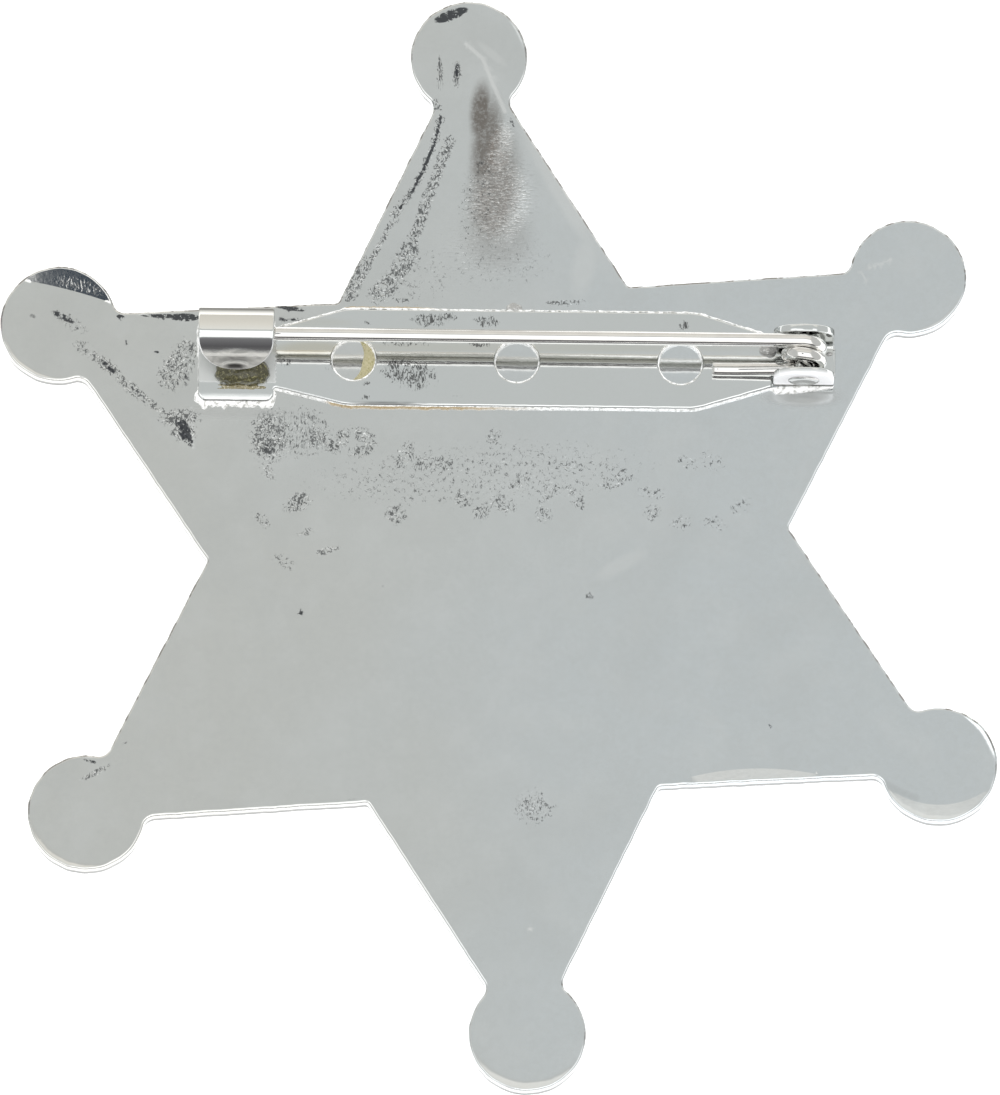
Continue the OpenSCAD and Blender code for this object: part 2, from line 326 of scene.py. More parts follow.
class Nodes:
    """Short way to add and link shader nodes."""

    def __init__(self, tree):
        self.tree = tree

    def add(self, kind, inputs=(), **settings):
        node = self.tree.nodes.new(kind)
        for key, value in settings.items():
            setattr(node, key, value)
        for key, value in dict(inputs).items():
            if isinstance(value, bpy.types.NodeSocket):
                self.tree.links.new(value, node.inputs[key])
            else:
                node.inputs[key].default_value = value
        return node

    def math(self, operation, a, b=0.0, clamp=False):
        return self.add("ShaderNodeMath", {0: a, 1: b}, operation=operation, use_clamp=clamp).outputs[0]

    def times(self, a, b, clamp=False):
        return self.math("MULTIPLY", a, b, clamp)

    def plus(self, a, b, clamp=False):
        return self.math("ADD", a, b, clamp)

    def rest(self, share, clamp=False):
        """What a share leaves of 1."""
        return self.math("SUBTRACT", 1.0, share, clamp)

    def most(self, *values):
        first, *others = values
        for value in others:
            first = self.math("MAXIMUM", first, value)
        return first

    def mix(self, factor, a, b):
        return self.add("ShaderNodeMix", {0: factor, 6: a, 7: b}, data_type="RGBA").outputs[2]

    def layers(self, base, *layers):
        """A base colour with others over it, each: its share and its colour."""
        for share, colour in layers:
            base = self.mix(share, base, colour)
        return base

    def ramp(self, value, low, high):
        """Smooth step from 0 at low to 1 at high."""
        node = self.add(
            "ShaderNodeMapRange",
            {"Value": value, "From Min": low, "From Max": high},
            interpolation_type="SMOOTHSTEP",
        )
        return node.outputs["Result"]

    def attribute(self, name):
        return self.add("ShaderNodeAttribute", attribute_name=name).outputs["Fac"]

    def place(self, scale=(1.0, 1.0, 1.0), turn=0.0):
        """Object coordinates in millimetres, stretched by scale."""
        coords = self.add("ShaderNodeTexCoord").outputs["Object"]
        node = self.add("ShaderNodeMapping", {"Vector": coords})
        node.inputs["Rotation"].default_value = (0, 0, math.radians(turn))
        node.inputs["Scale"].default_value = [s / MM for s in scale]
        return node.outputs["Vector"]

    def noise(self, per_mm, detail=2.0, scale=(1.0, 1.0, 1.0), turn=0.0, roughness=0.5, distortion=0.0):
        return self.add("ShaderNodeTexNoise", {
            "Vector": self.place(scale, turn),
            "Scale": per_mm,
            "Detail": detail,
            "Roughness": roughness,
            "Distortion": distortion,
        }).outputs["Fac"]

    def bump(self, height, strength, distance, normal=None):
        inputs = {"Height": height, "Strength": strength, "Distance": distance * MM}
        if normal:
            inputs["Normal"] = normal
        return self.add("ShaderNodeBump", inputs).outputs["Normal"]


def material(name):
    """A new material, its nodes and its shader."""
    made = bpy.data.materials.new(name)
    made.use_nodes = True
    shader = made.node_tree.nodes["Principled BSDF"]
    return made, Nodes(made.node_tree), shader


def connect(nodes, shader, **sockets):
    """Links values to a shader's sockets. An underscore stands for a space in a socket's name."""
    for key, value in sockets.items():
        nodes.tree.links.new(value, shader.inputs[key.replace("_", " ")])


def strokes_of(n, amount, per_mm, scale, width=0.05):
    """Thin dark wavy strokes, more of them where the amount is greater, and the noise that they follow."""
    grain = n.noise(per_mm, 1.0, scale=scale, roughness=0.5, distortion=0.8)
    off = n.math("ABSOLUTE", n.math("SUBTRACT", grain, 0.5))
    thick = n.times(n.plus(amount, 0.35), width)
    line_share = n.rest(n.ramp(n.math("DIVIDE", off, thick), 0.5, 1.3))
    patchy = n.noise(per_mm * 0.8, 2.0, roughness=0.6)
    here = n.ramp(n.plus(patchy, n.times(amount, 0.35)), 0.6, 0.78)
    share = n.times(line_share, here)
    return n.times(share, n.ramp(amount, 0.02, 0.35)), grain


WHITE = (1.0, 1.0, 1.0, 1)
NICKEL_COOL, NICKEL_WARM = (0.79, 0.825, 0.845, 1), (0.785, 0.785, 0.76, 1)
BROWN_SHADE, SPECKS_AND_SHADE, WEAR_AND_DARK_REFLECTION = (0.27, 0.245, 0.225, 1), (0.05, 0.054, 0.062, 1), (0.07, 0.076, 0.08, 1)


def star_tone(n):
    """The plate's own colour: cooler on the right, mottled, with paler and darker clouds."""
    side = n.add("ShaderNodeSeparateXYZ", {"Vector": n.place()}).outputs["X"]
    warm = n.ramp(n.plus(side, n.times(n.noise(0.07, 2.0), 30.0)), 32.0, -8.0)
    mottle = n.ramp(n.noise(2.6, 4.0, roughness=0.75), 0.3, 0.7)
    blotch = n.ramp(n.noise(0.35, 3.0, roughness=0.6), 0.4, 0.75)
    shadow = n.ramp(n.noise(0.16, 2.0), 0.5, 0.75)
    return n.layers(
        n.mix(warm, NICKEL_COOL, NICKEL_WARM),
        (n.times(mottle, 0.2), (0.69, 0.7, 0.69, 1)),
        (n.times(blotch, 0.22), (0.9, 0.91, 0.91, 1)),
        (n.times(shadow, 0.2), (0.68, 0.69, 0.68, 1)),
    )


def star_plating():
    """Bright nickel, a little wavy, with the marks that the mesh holds: wear, and painted highlights,
    glints, shade and dark reflections.
    """
    made, n, shader = material("star_plating")
    kinds = ("speckle", "hatch", "dark", "ripple", "brown_shade", "pale", "muted_reflection", "outline", "brim", "edge")
    speckle, hatch, dark, ripple, brown_shade, pale, muted_reflection, outline, brim, edge = map(n.attribute, kinds)

    flecks, grain = strokes_of(n, speckle, 4.4, (1.2, 0.85, 1.0), 0.06)
    dashes, lines = strokes_of(n, hatch, 5.0, (1.7, 0.4, 1.0), 0.06)
    marks = n.most(flecks, dashes)
    waves = n.noise(5.2, 2.5, scale=(0.6, 1.5, 1.0), roughness=0.6)
    # The ripples' crests get a painted highlight and their troughs painted shade.
    lit_crests = n.times(n.ramp(waves, 0.56, 0.68), ripple)
    shaded_troughs = n.times(n.ramp(waves, 0.46, 0.36), ripple)
    torn = n.ramp(n.noise(4.6, 3.0, roughness=0.7), 0.36, 0.56)
    # The dark marks are painted dark reflections and shade, besides a few small dark specks.
    specks_and_shade = n.ramp(n.times(dark, n.plus(torn, 0.25)), 0.25, 0.7)
    # Brownish painted shade, which stands in for a dark reflection on the top arm and for shade by the lower
    # right ball.
    brown_shade_share = n.times(brown_shade, n.plus(n.times(torn, 0.35), 0.7), clamp=True)
    # Painted white glints go in the marked places, with painted highlights on the ripples' crests.
    marked_places = n.most(speckle, hatch, ripple, dark)
    glints = n.times(n.ramp(n.noise(7.0, 1.0), 0.7, 0.74), n.ramp(marked_places, 0.3, 0.8))
    light = n.plus(n.times(lit_crests, 0.2), n.times(glints, 0.7), clamp=True)
    brim_dashes = n.noise(1.1, 3.0, roughness=0.7)
    base = n.layers(
        star_tone(n),
        # Brownish painted shade.
        (brown_shade_share, BROWN_SHADE),
        # Painted highlights.
        (n.times(pale, 0.75, clamp=True), (1.0, 1.0, 0.99, 1)),
        # Speckled and hatched wear, whose darkness is partly a painted dark reflection.
        (n.times(marks, 0.85), WEAR_AND_DARK_REFLECTION),
        # Painted shade in the ripples' troughs.
        (n.times(shaded_troughs, 0.5), (0.2, 0.19, 0.18, 1)),
        # Painted dark reflections and shade, and small dark specks.
        (n.times(specks_and_shade, 0.92), SPECKS_AND_SHADE),
        # Painted highlights and glints.
        (light, WHITE),
        # A painted matte grey, which stands in for the plate's mirrored tone so that no mirror image shows
        # there.
        (muted_reflection, (0.47, 0.485, 0.48, 1)),
        # Painted shade along the low side of the edge.
        (n.ramp(outline, 0.3, 0.75), (0.08, 0.08, 0.08, 1)),
        # Painted dark dashes and painted glints along the brim.
        (n.times(brim, n.ramp(brim_dashes, 0.46, 0.6)), (0.33, 0.32, 0.31, 1)),
        (n.times(brim, n.ramp(brim_dashes, 0.4, 0.34)), WHITE),
    )
    rough = n.plus(n.times(n.noise(0.25, 3.0), 0.07), 0.05)
    rough = n.plus(rough, n.times(marks, 0.15))

    peel = n.bump(n.noise(0.8, 3.0), 0.035, 0.12)
    peel = n.bump(n.noise(4.0, 3.0), 0.035, 0.03, peel)
    peel = n.bump(grain, n.times(speckle, 0.35), 0.05, peel)
    peel = n.bump(lines, n.times(hatch, 0.5), 0.05, peel)
    peel = n.bump(waves, n.times(ripple, 0.32), 0.06, peel)
    peel = n.bump(n.noise(2.6, 3.0, roughness=0.7), n.times(edge, 0.4), 0.05, peel)
    connect(n, shader, Base_Color=base, Metallic=n.rest(muted_reflection), Roughness=rough, Normal=peel)
    return made


def bar_plating():
    """Smoother bright nickel with fine drawn lines and the marks that the mesh holds, among them painted
    shade, a painted grey reflection and a painted white glow.
    """
    made, n, shader = material("bar_plating")
    kinds = ("speckle", "dark", "warm", "shade", "dusk", "muted_reflection", "painted_reflection", "white_glow")
    speckle, dark, warm, shade, dusk, muted_reflection, painted_reflection, white_glow = map(n.attribute, kinds)

    flecks, _ = strokes_of(n, speckle, 5.2, (1.5, 0.5, 1.0), 0.06)
    cloud = n.ramp(n.noise(0.2, 2.0), 0.35, 0.65)
    mottle = n.ramp(n.noise(3.0, 4.0, roughness=0.7), 0.3, 0.7)
    swirl = n.ramp(n.noise(1.4, 3.0, scale=(0.5, 1.0, 1.0), distortion=1.5), 0.35, 0.65)
    # A painted grey that stands in for the tongue's reflection.
    painted_reflection = n.times(painted_reflection, n.plus(n.times(swirl, 0.3), 0.7))
    base = n.layers(
        n.mix(cloud, (0.81, 0.83, 0.83, 1), (0.8, 0.82, 0.815, 1)),
        (n.times(mottle, 0.08), (0.7, 0.71, 0.7, 1)),
        (n.times(warm, 0.8, clamp=True), (0.74, 0.71, 0.61, 1)),
        # Speckled wear, whose darkness is partly a painted dark reflection.
        (n.times(flecks, 0.85), (0.07, 0.07, 0.07, 1)),
        (shade, (0.83, 0.825, 0.79, 1)),
        (dusk, (0.3, 0.297, 0.285, 1)),
        (painted_reflection, n.mix(swirl, (0.48, 0.47, 0.44, 1), (0.7, 0.69, 0.66, 1))),
        # A painted white glow.
        (white_glow, (0.95, 0.95, 0.97, 1)),
        # Painted shade.
        (n.times(dark, 0.95, clamp=True), (0.03, 0.028, 0.026, 1)),
    )
    bare = n.rest(n.times(n.most(painted_reflection, white_glow), 0.85), clamp=True)
    # The white glow is painted light.
    connect(n, shader, Base_Color=base, Metallic=bare, Emission_Strength=n.times(white_glow, 0.3))
    shader.inputs["Emission Color"].default_value = (0.96, 0.97, 1, 1)
    shader.inputs["Specular Tint"].default_value = (0.45, 0.445, 0.43, 1)

    rough = n.plus(n.times(n.noise(0.6, 3.0), 0.05), 0.03)
    rough = n.plus(rough, n.times(muted_reflection, 0.5))
    peel = n.bump(n.noise(1.3, 2.0), 0.025, 0.08)
    peel = n.bump(n.noise(9.0, 2.0, scale=(0.1, 1.0, 1.0)), 0.02, 0.02, peel)
    connect(n, shader, Roughness=rough, Normal=peel)
    return made


def wire_plating(name, tint, lines):
    """Drawn wire or a rivet: bright, with fine lines along X, darkened by painted shade where the mesh holds
    it.
    """
    made, n, shader = material(name)
    shader.inputs["Metallic"].default_value = 1.0
    base = n.mix(n.ramp(n.noise(0.9, 3.0), 0.35, 0.65), tint, [c * 0.93 for c in tint[:3]] + [1])
    # Painted shade on the underside, where the mesh holds it.
    base = n.mix(n.times(n.attribute("underside_shade"), 0.85), base, (0.2, 0.19, 0.16, 1))
    connect(n, shader, Base_Color=base)
    rough = n.plus(n.times(n.noise(2.0, 2.0), 0.06), 0.04)
    connect(n, shader, Roughness=rough)
    drawn = n.noise(7.0, 2.0, scale=(lines, 1.0, 1.0))
    connect(n, shader, Normal=n.bump(drawn, 0.05, 0.02))
    return made


def bond_resin(name, tint, fleck):
    """Whitish adhesive, tinted and flecked where the mesh says that it has yellowed, and glowing a little
    where it is clear, which paints in its highlights.
    """
    made, n, shader = material(name)
    amber = n.attribute("amber")
    milky = n.ramp(n.noise(4.5, 3.0), 0.35, 0.55)
    base = n.mix(milky, (0.66, 0.66, 0.63, 1), (1.0, 1.0, 1.0, 1))
    flecked = n.mix(n.ramp(n.noise(5.5, 4.0, roughness=0.75), 0.52, 0.64), tint, fleck)
    base = n.mix(n.ramp(amber, 0.1, 0.9), base, flecked)
    connect(n, shader, Base_Color=base)
    clear = n.rest(amber, clamp=True)
    # A little painted glow where the bond is clear.
    glow = n.times(n.plus(n.times(milky, 0.3), 0.08), clear)
    shader.inputs["Emission Color"].default_value = (1, 1, 1, 1)
    connect(n, shader, Emission_Strength=glow)
    shader.inputs["Roughness"].default_value = 0.06
    shader.inputs["Specular IOR Level"].default_value = 0.6
    shader.inputs["Coat Weight"].default_value = 0.2
    shader.inputs["Coat Roughness"].default_value = 0.04
    connect(n, shader, Normal=n.bump(n.noise(5.0, 3.0, roughness=0.6), 0.8, 0.05))
    return made


# Star: the steps of its outline and of its points, in mm, and the radius of its edge

EDGE_STEP, STAR_GRID, FINE_GRID, RIM_GRID = 0.32, 0.36, 0.11, 0.16
EDGE_R = 0.14


def star_point(reach, degrees):
    """Point at a reach and an angle, stretched along Y as the star is."""
    a = math.radians(degrees)
    return np.array((reach * math.cos(a), STAR_TALL * reach * math.sin(a)))


def turned(points, degrees):
    """Points turned anticlockwise about the star's centre."""
    a = math.radians(degrees)
    spin = np.array(((math.cos(a), math.sin(a)), (-math.sin(a), math.cos(a))))
    return np.asarray(points) @ spin


def star_outline():
    """Closed outline, anticlockwise: arm edges, necks, balls and inner corners."""
    outline = []
    for arm in range(6):
        angle = 60 * arm + 30
        tip, ball = star_point(ARM_REACH, angle), star_point(BALL_REACH, angle)
        ways, feet, necks, touches = [], [], [], []
        for side in (-1, 1):
            corner = star_point(NOTCH_REACH, angle + 30 * side)
            way = unit(tip - corner)
            out = side * np.array((-way[1], way[0]))
            start = corner + NECK_ROUND * out - ball
            reach = math.sqrt((way @ start) ** 2 - start @ start + (BALL_R + NECK_ROUND) ** 2)
            foot = corner + way * (-(way @ start) - reach)
            neck = foot + NECK_ROUND * out
            ways.append(way)
            feet.append(foot)
            necks.append(neck)
            touches.append(ball + BALL_R * unit(neck - ball))
        corner = star_point(NOTCH_REACH, angle + 30)
        onward = unit(star_point(ARM_REACH, angle + 60) - corner)
        half = math.acos(ways[1] @ onward) / 2
        run = NOTCH_ROUND / math.tan(half)
        centre = corner + unit(ways[1] + onward) * NOTCH_ROUND / math.sin(half)
        before = star_point(NOTCH_REACH, angle - 30)
        outline += list(line(before + run * ways[0], feet[0], EDGE_STEP))
        outline += list(arc(necks[0], feet[0], touches[0], -1, EDGE_STEP / 3))
        outline += list(arc(ball, touches[0], touches[1], 1, EDGE_STEP / 2))
        outline += list(arc(necks[1], touches[1], feet[1], -1, EDGE_STEP / 3))
        outline += list(line(feet[1], corner + run * ways[1], EDGE_STEP))
        outline += list(arc(centre, corner + run * ways[1], corner + run * onward, -1, EDGE_STEP / 4))
    return turned(np.array(outline), STAR_TURN)


BALLS = [turned(star_point(BALL_REACH, 60 * arm + 30), STAR_TURN) for arm in range(6)]


# Raised rims of the balls' backs, each: its ball, counted anticlockwise from the right, its width and
# height in mm, and the middle and half of its reach round the ball in degrees
RIMS = (
    (0, 0.3, 0.03, -50, 45),
    (1, 0.35, 0.05, 18, 35),
    (2, 0.32, 0.05, 222, 62),
    (3, 0.4, 0.06, 228, 70),
    (4, 0.62, 0.085, 262, 72),
    (5, 0.36, 0.07, 30, 40),
    (5, 0.3, 0.04, 250, 60),
)

# Places where the back is bent up past an arc, each: the arc's middle in the photograph, the way it
# rises in degrees, the arc's radius in mm, negative where it curves towards the flap, and the slope
FLAPS = (
    (74, 291, 75, 30.0, 13.0),
    (940, 804, -88, 5.0, 4.5),
    (763, 768, -90, -16.5, 4.5),
)
FLAP_REACH = 4.4


def rim_rise(x, y, outline):
    """How far the balls' raised rims stand over the flat."""
    rise = np.zeros_like(x)
    for arm, width, height, middle, reach in RIMS:
        ball = BALLS[arm]
        near = np.flatnonzero(np.hypot(x - ball[0], y - ball[1]) < BALL_R + 0.15)
        edge = outline[np.hypot(*(outline - ball).T) < BALL_R + 1]
        places = np.column_stack((x[near], y[near]))
        gap = np.min(np.linalg.norm(places[:, None] - edge[None], axis=2), axis=1)
        turn = np.degrees(np.arctan2(places[:, 1] - ball[1], places[:, 0] - ball[0]))
        off = np.abs((turn - middle + 180) % 360 - 180) / reach
        here = np.clip(1 - off ** 2, 0, 1)
        share = np.clip(1 - gap / (width * (0.4 + 0.6 * here)), 0, 1)
        rise[near] = np.maximum(rise[near], height * here * share ** 1.5)
    return rise


def past_arc(x, y, px, py, degrees, radius):
    """How far points lie past the arc of a flap, in mm."""
    centre = seen(px, py) - towards(degrees) * radius
    return (np.hypot(x - centre[0], y - centre[1]) - abs(radius)) * np.sign(radius)


def flap_arc(px, py, degrees, radius):
    """Points along the arc of a flap, as far as it reaches."""
    way = towards(degrees)
    reach = FLAP_REACH / abs(radius)
    turns = math.atan2(way[1], way[0]) + np.linspace(-reach, reach, round(2 * FLAP_REACH / FINE_GRID))
    return round_points(seen(px, py) - way * radius, radius, turns)


def flap_rise(x, y):
    """How far the bent places stand over the flat."""
    rise = np.zeros_like(x)
    for px, py, degrees, radius, slope in FLAPS:
        apex = seen(px, py)
        past = past_arc(x, y, px, py, degrees, radius)
        here = np.hypot(x - apex[0], y - apex[1]) < FLAP_REACH
        rise += math.tan(math.radians(slope)) * np.maximum(past, 0) * here
    return rise


def smooth(share):
    """A share from 0 to 1, eased at both ends."""
    return share ** 2 * (3 - 2 * share)


def bell(x, y, cx, cy, length, width, degrees):
    """Smooth hill, 1 at its centre, with a flat top and soft rim."""
    a = math.radians(degrees)
    along = (x - cx) * math.cos(a) + (y - cy) * math.sin(a)
    across = -(x - cx) * math.sin(a) + (y - cy) * math.cos(a)
    far = np.hypot(along / (length / 2), across / (width / 2))
    return smooth(np.clip(1.5 - far, 0, 1))


def stroke(x, y, points, width):
    """Smooth ridge, 1 along a line through the points."""
    points = np.array(points, float)
    near = np.full(x.shape, 1e9)
    for a, b in zip(points[:-1], points[1:]):
        way = b - a
        t = np.clip(((x - a[0]) * way[0] + (y - a[1]) * way[1]) / (way @ way), 0, 1)
        near = np.minimum(near, np.hypot(x - a[0] - t * way[0], y - a[1] - t * way[1]))
    return smooth(np.clip(1.5 - near / (width / 2), 0, 1))


def path(*pixels):
    """Points on the badge's back that the photograph shows at some pixels."""
    return [seen(px, py) for px, py in pixels]


# Marks on the star, each: what it is, the photograph's pixel, its length, width and turn, its strength
# Of these, the dark marks are painted dark reflections and shade, besides a few small dark specks; the
# brownish ones are painted shade, the pale ones painted highlights and the matte ones a painted grey; the
# speckled and hatched ones are wear whose darkness is partly a painted dark reflection.
MARKS = (
    ("dark", 451, 13, 30, 9, 21, 1.8),
    ("dark", 32, 316, 8, 6, -25, 0.4),
    ("dark", 63, 317, 26, 6, -27, 0.75),
    ("dark", 82, 347, 18, 6, -36, 0.55),
    ("speckle", 70, 322, 40, 14, -30, 0.5),
    ("speckle", 86, 350, 34, 14, -36, 0.5),
    ("dark", 107, 366, 22, 5, -42, 0.7),
    ("speckle", 108, 367, 30, 12, -42, 1.0),
    ("speckle", 133, 390, 46, 12, -40, 0.8),
    ("dark", 136, 391, 30, 3, -40, 0.45),
    ("speckle", 176, 368, 48, 30, 62, 0.8),
    ("speckle", 186, 352, 30, 22, 90, 0.7),
    ("dark", 186, 378, 20, 8, 90, 0.45),
    ("speckle", 180, 418, 38, 18, 4, 1.0),
    ("speckle", 184, 432, 26, 18, 0, 1.0),
    ("dark", 184, 431, 32, 11, -64, 1.2),
    ("dark", 157, 352, 4, 3, 0, 0.8),
    ("dark", 126, 342, 3, 3, 0, 0.6),
    ("dark", 120, 316.5, 8, 4, -10, 0.9),
    ("dark", 170, 316, 54, 4, -1, 1.1),
    ("dark", 184, 317, 26, 7, 0, 1.5),
    ("dark", 290, 308, 30, 4, -8, 1.0),
    ("dark", 290, 319.5, 26, 2.6, 4, 0.9),
    ("speckle", 269, 436, 56, 38, 90, 0.85),
    ("speckle", 268, 444, 26, 24, 0, 1.0),
    ("dark", 268, 449, 20, 12, 70, 0.5),
    ("hatch", 300, 432, 60, 50, 0, 0.6),
    ("speckle", 267, 470, 24, 12, -60, 0.6),
    ("hatch", 440, 72, 36, 6, 90, 1.0),
    ("hatch", 457, 72, 28, 9, 90, 1.0),
    ("dark", 457, 70, 20, 3.5, 90, 0.7),
    ("speckle", 437, 104, 16, 8, -60, 0.9),
    ("dark", 512, 121, 12, 3.5, -62, 0.7),
    ("brown_shade", 481, 112, 56, 19, 88, 1.0),
    ("brown_shade", 487, 145, 90, 27, 84, 0.9),
    ("brown_shade", 495, 190, 110, 44, 84, 0.72),
    ("brown_shade", 498, 236, 60, 60, 90, 0.3),
    ("ripple", 500, 150, 60, 26, 80, 1.0),
    ("ripple", 500, 200, 90, 62, 86, 0.85),
    ("ripple", 490, 250, 60, 90, 90, 0.3),
    ("speckle", 478, 200, 100, 36, 84, 0.45),
    ("speckle", 500, 262, 60, 110, 90, 0.28),
    ("speckle", 420, 275, 60, 70, 90, 0.32),
    ("speckle", 565, 302, 44, 6, 2, 0.8),
    ("speckle", 395, 300, 30, 6, 0, 0.6),
    ("speckle", 328, 550, 26, 8, 14, 0.7),
    ("speckle", 306, 532, 20, 8, 10, 0.55),
    ("speckle", 262, 520, 22, 12, -40, 0.6),
    ("speckle", 284, 562, 26, 14, -20, 0.45),
    ("dark", 258, 514, 5, 4, -40, 0.6),
    ("dark", 301, 613, 5, 5, 60, 0.9),
    ("dark", 382, 587, 6, 4, 20, 0.4),
    ("speckle", 590, 596, 10, 8, 0, 0.8),
    ("speckle", 534, 806, 40, 34, 0, 0.5),
    ("dark", 526, 800, 3, 3, 0, 0.6),
    ("dark", 542, 820, 3, 3, 0, 0.5),
    ("dark", 91, 761, 14, 3, -14, 0.8),
    ("speckle", 95, 773, 34, 6, 28, 0.9),
    ("dark", 125, 743, 8, 2.5, 20, 0.5),
    ("dark", 352, 799, 16, 3, 8, 0.3),
    ("dark", 770, 726, 3, 3, 0, 0.6),
    ("pale", 492, 52, 34, 8, -40, 0.35),
    ("pale", 560, 190, 130, 16, -60, 0.45),
    ("pale", 584, 266, 60, 22, 80, 0.35),
    ("pale", 620, 565, 50, 14, 30, 0.3),
    ("pale", 530, 928, 5, 4, 0, 0.9),
    ("pale", 560, 470, 130, 60, 0, 0.12),
    ("pale", 90, 755, 12, 6, 0, 1.0),
    ("pale", 850, 262, 3, 3, 0, 0.8),
    ("speckle", 84, 287, 56, 14, -14, 0.42),
    ("muted_reflection", 236, 412, 90, 12, 0, 0.5),
    ("muted_reflection", 802, 396, 68, 20, 0, 0.9),
)

# A worn band under the bar: its pixels, its number of patches, its seed and the faint ground under them
WORN_LEFT, WORN_RIGHT, WORN_TOP, WORN_BOTTOM = 288, 742, 436, 526
WORN_COUNT, WORN_SEED = 30, 5
WORN_GROUND = ("speckle", 480, 474, 330, 64, 4, 0.36)


def worn_patches():
    """Scattered speckled patches in the worn band, fainter towards the right."""
    draw = random.Random(WORN_SEED)
    patches = []
    for i in range(WORN_COUNT):
        share = (i + 0.5) / WORN_COUNT
        px = WORN_LEFT + (WORN_RIGHT - WORN_LEFT) * share + draw.uniform(-9, 9)
        py = draw.uniform(WORN_TOP, WORN_BOTTOM)
        length, width = draw.uniform(18, 32), draw.uniform(13, 20)
        patches.append(("speckle", px, py, length, width, draw.uniform(-60, 60), 0.8 - 0.35 * share))
    return (*patches, WORN_GROUND)


MARKS += worn_patches()

# Dashed and speckled curves, and creases, each: what it is, its pixels, width and strength
# Of these, the dark and brownish curves are painted shade, the pale ones painted highlights, and the
# speckled ones wear whose darkness is partly a painted dark reflection.
CURVES = (
    ("dark", ((441, 116), (434, 143), (422, 172), (411, 192), (400, 207)), 3.0, 0.9),
    ("speckle", ((441, 116), (434, 143), (422, 172), (411, 192), (392, 214)), 8, 0.7),
    ("speckle", ((400, 207), (388, 228), (372, 258), (358, 286)), 6, 0.9),
    ("speckle", ((449, 140), (438, 171), (428, 196), (420, 222), (408, 252), (385, 290)), 12, 0.85),
    ("speckle", ((410, 250), (396, 276), (378, 294)), 20, 0.85),
    ("speckle", ((362, 262), (350, 296)), 14, 0.8),
    ("speckle", ((95, 355), (128, 384), (162, 412)), 7, 0.8),
    ("pale", ((466, 42), (483, 57), (493, 82), (505, 110)), 4, 0.9),
    ("pale", ((191, 408), (193, 448)), 2.5, 0.8),
    ("pale", ((868, 268), (882, 263), (893, 258)), 1.6, 0.6),
    ("pale", ((861, 271), (868, 280)), 2.0, 0.5),
    ("brown_shade", ((884, 783), (899, 791), (915, 797)), 7, 0.12),
)


def fine_points(step):
    """Closely spaced points where the marks are."""
    points = []
    for name, px, py, length, width, degrees, strength in MARKS:
        reach = length * PIXEL * 0.8
        centre = seen(px, py)
        spots = lattice(centre - reach, centre + reach, step)
        hill = bell(spots[:, 0], spots[:, 1], *centre, length * PIXEL, width * PIXEL, degrees)
        points.append(spots[hill > 0])
    for name, pixels, width, strength in CURVES:
        line_points = np.array(path(*pixels))
        spots = lattice(line_points.min(axis=0) - 0.6, line_points.max(axis=0) + 0.6, step)
        ridge = stroke(spots[:, 0], spots[:, 1], line_points, width * PIXEL)
        points.append(spots[ridge > 0])
    for ball in BALLS:
        spots = lattice(ball - BALL_R, ball + BALL_R, RIM_GRID)
        points.append(spots[np.linalg.norm(spots - ball, axis=1) > BALL_R - 0.8])
    return np.concatenate(points)


def with_creases(points):
    """The points, cleared from the flaps' arcs, and the arcs' own points."""
    arcs = []
    for px, py, degrees, radius, slope in FLAPS:
        off = np.abs(past_arc(points[:, 0], points[:, 1], px, py, degrees, radius))
        far = np.linalg.norm(points - seen(px, py), axis=1) > FLAP_REACH + 0.1
        points = points[(off > FINE_GRID * 0.7) | far]
        arcs.append(flap_arc(px, py, degrees, radius))
    return np.concatenate([points] + arcs)


def points_of(made):
    """An object's vertices, in millimetres."""
    return np.array([v.co for v in made.data.vertices]) / MM


def sharpen_creases(made):
    """Marks the edges along the flaps' arcs as sharp."""
    points = points_of(made)
    upper = points[:, 2] > BACK_Z - EDGE_R
    on_arc = np.zeros(len(points), bool)
    for px, py, degrees, radius, slope in FLAPS:
        off = np.abs(past_arc(points[:, 0], points[:, 1], px, py, degrees, radius))
        near = np.linalg.norm(points[:, :2] - seen(px, py), axis=1) < FLAP_REACH
        on_arc |= (off < 0.002) & near & upper
    for edge in made.data.edges:
        edge.use_edge_sharp = bool(on_arc[list(edge.vertices)].all())


def thinned(points, step):
    """The points without those that share a cell of the given size."""
    cells = np.floor(points / step).astype(int)
    _, first = np.unique(cells, axis=0, return_index=True)
    return points[np.sort(first)]


def painted(kinds, marks, x, y, height=BACK_Z):
    """How strong each kind of mark is at points that lie at the height where the marks are seen."""
    fields = {name: np.zeros(len(x)) for name in kinds}
    for name, px, py, length, width, degrees, strength in marks:
        hill = bell(x, y, *seen(px, py, height), length * PIXEL, width * PIXEL, degrees)
        fields[name] = np.maximum(fields[name], strength * hill)
    return fields


def star_marks(made):
    """Stores where the star's back is speckled, hatched or rippled, and where it has painted dark and
    brownish shade, painted highlights or a painted matte grey.
    """
    x, y, z = points_of(made).T
    kinds = ("speckle", "dark", "hatch", "ripple", "brown_shade", "pale", "muted_reflection")
    fields = painted(kinds, MARKS, x, y)
    for name, pixels, width, strength in CURVES:
        ridge = stroke(x, y, path(*pixels), width * PIXEL)
        fields[name] = np.maximum(fields[name], strength * ridge)
    for name, values in fields.items():
        store(made, name, values * (z > FRONT_Z + PLATE_T / 2))


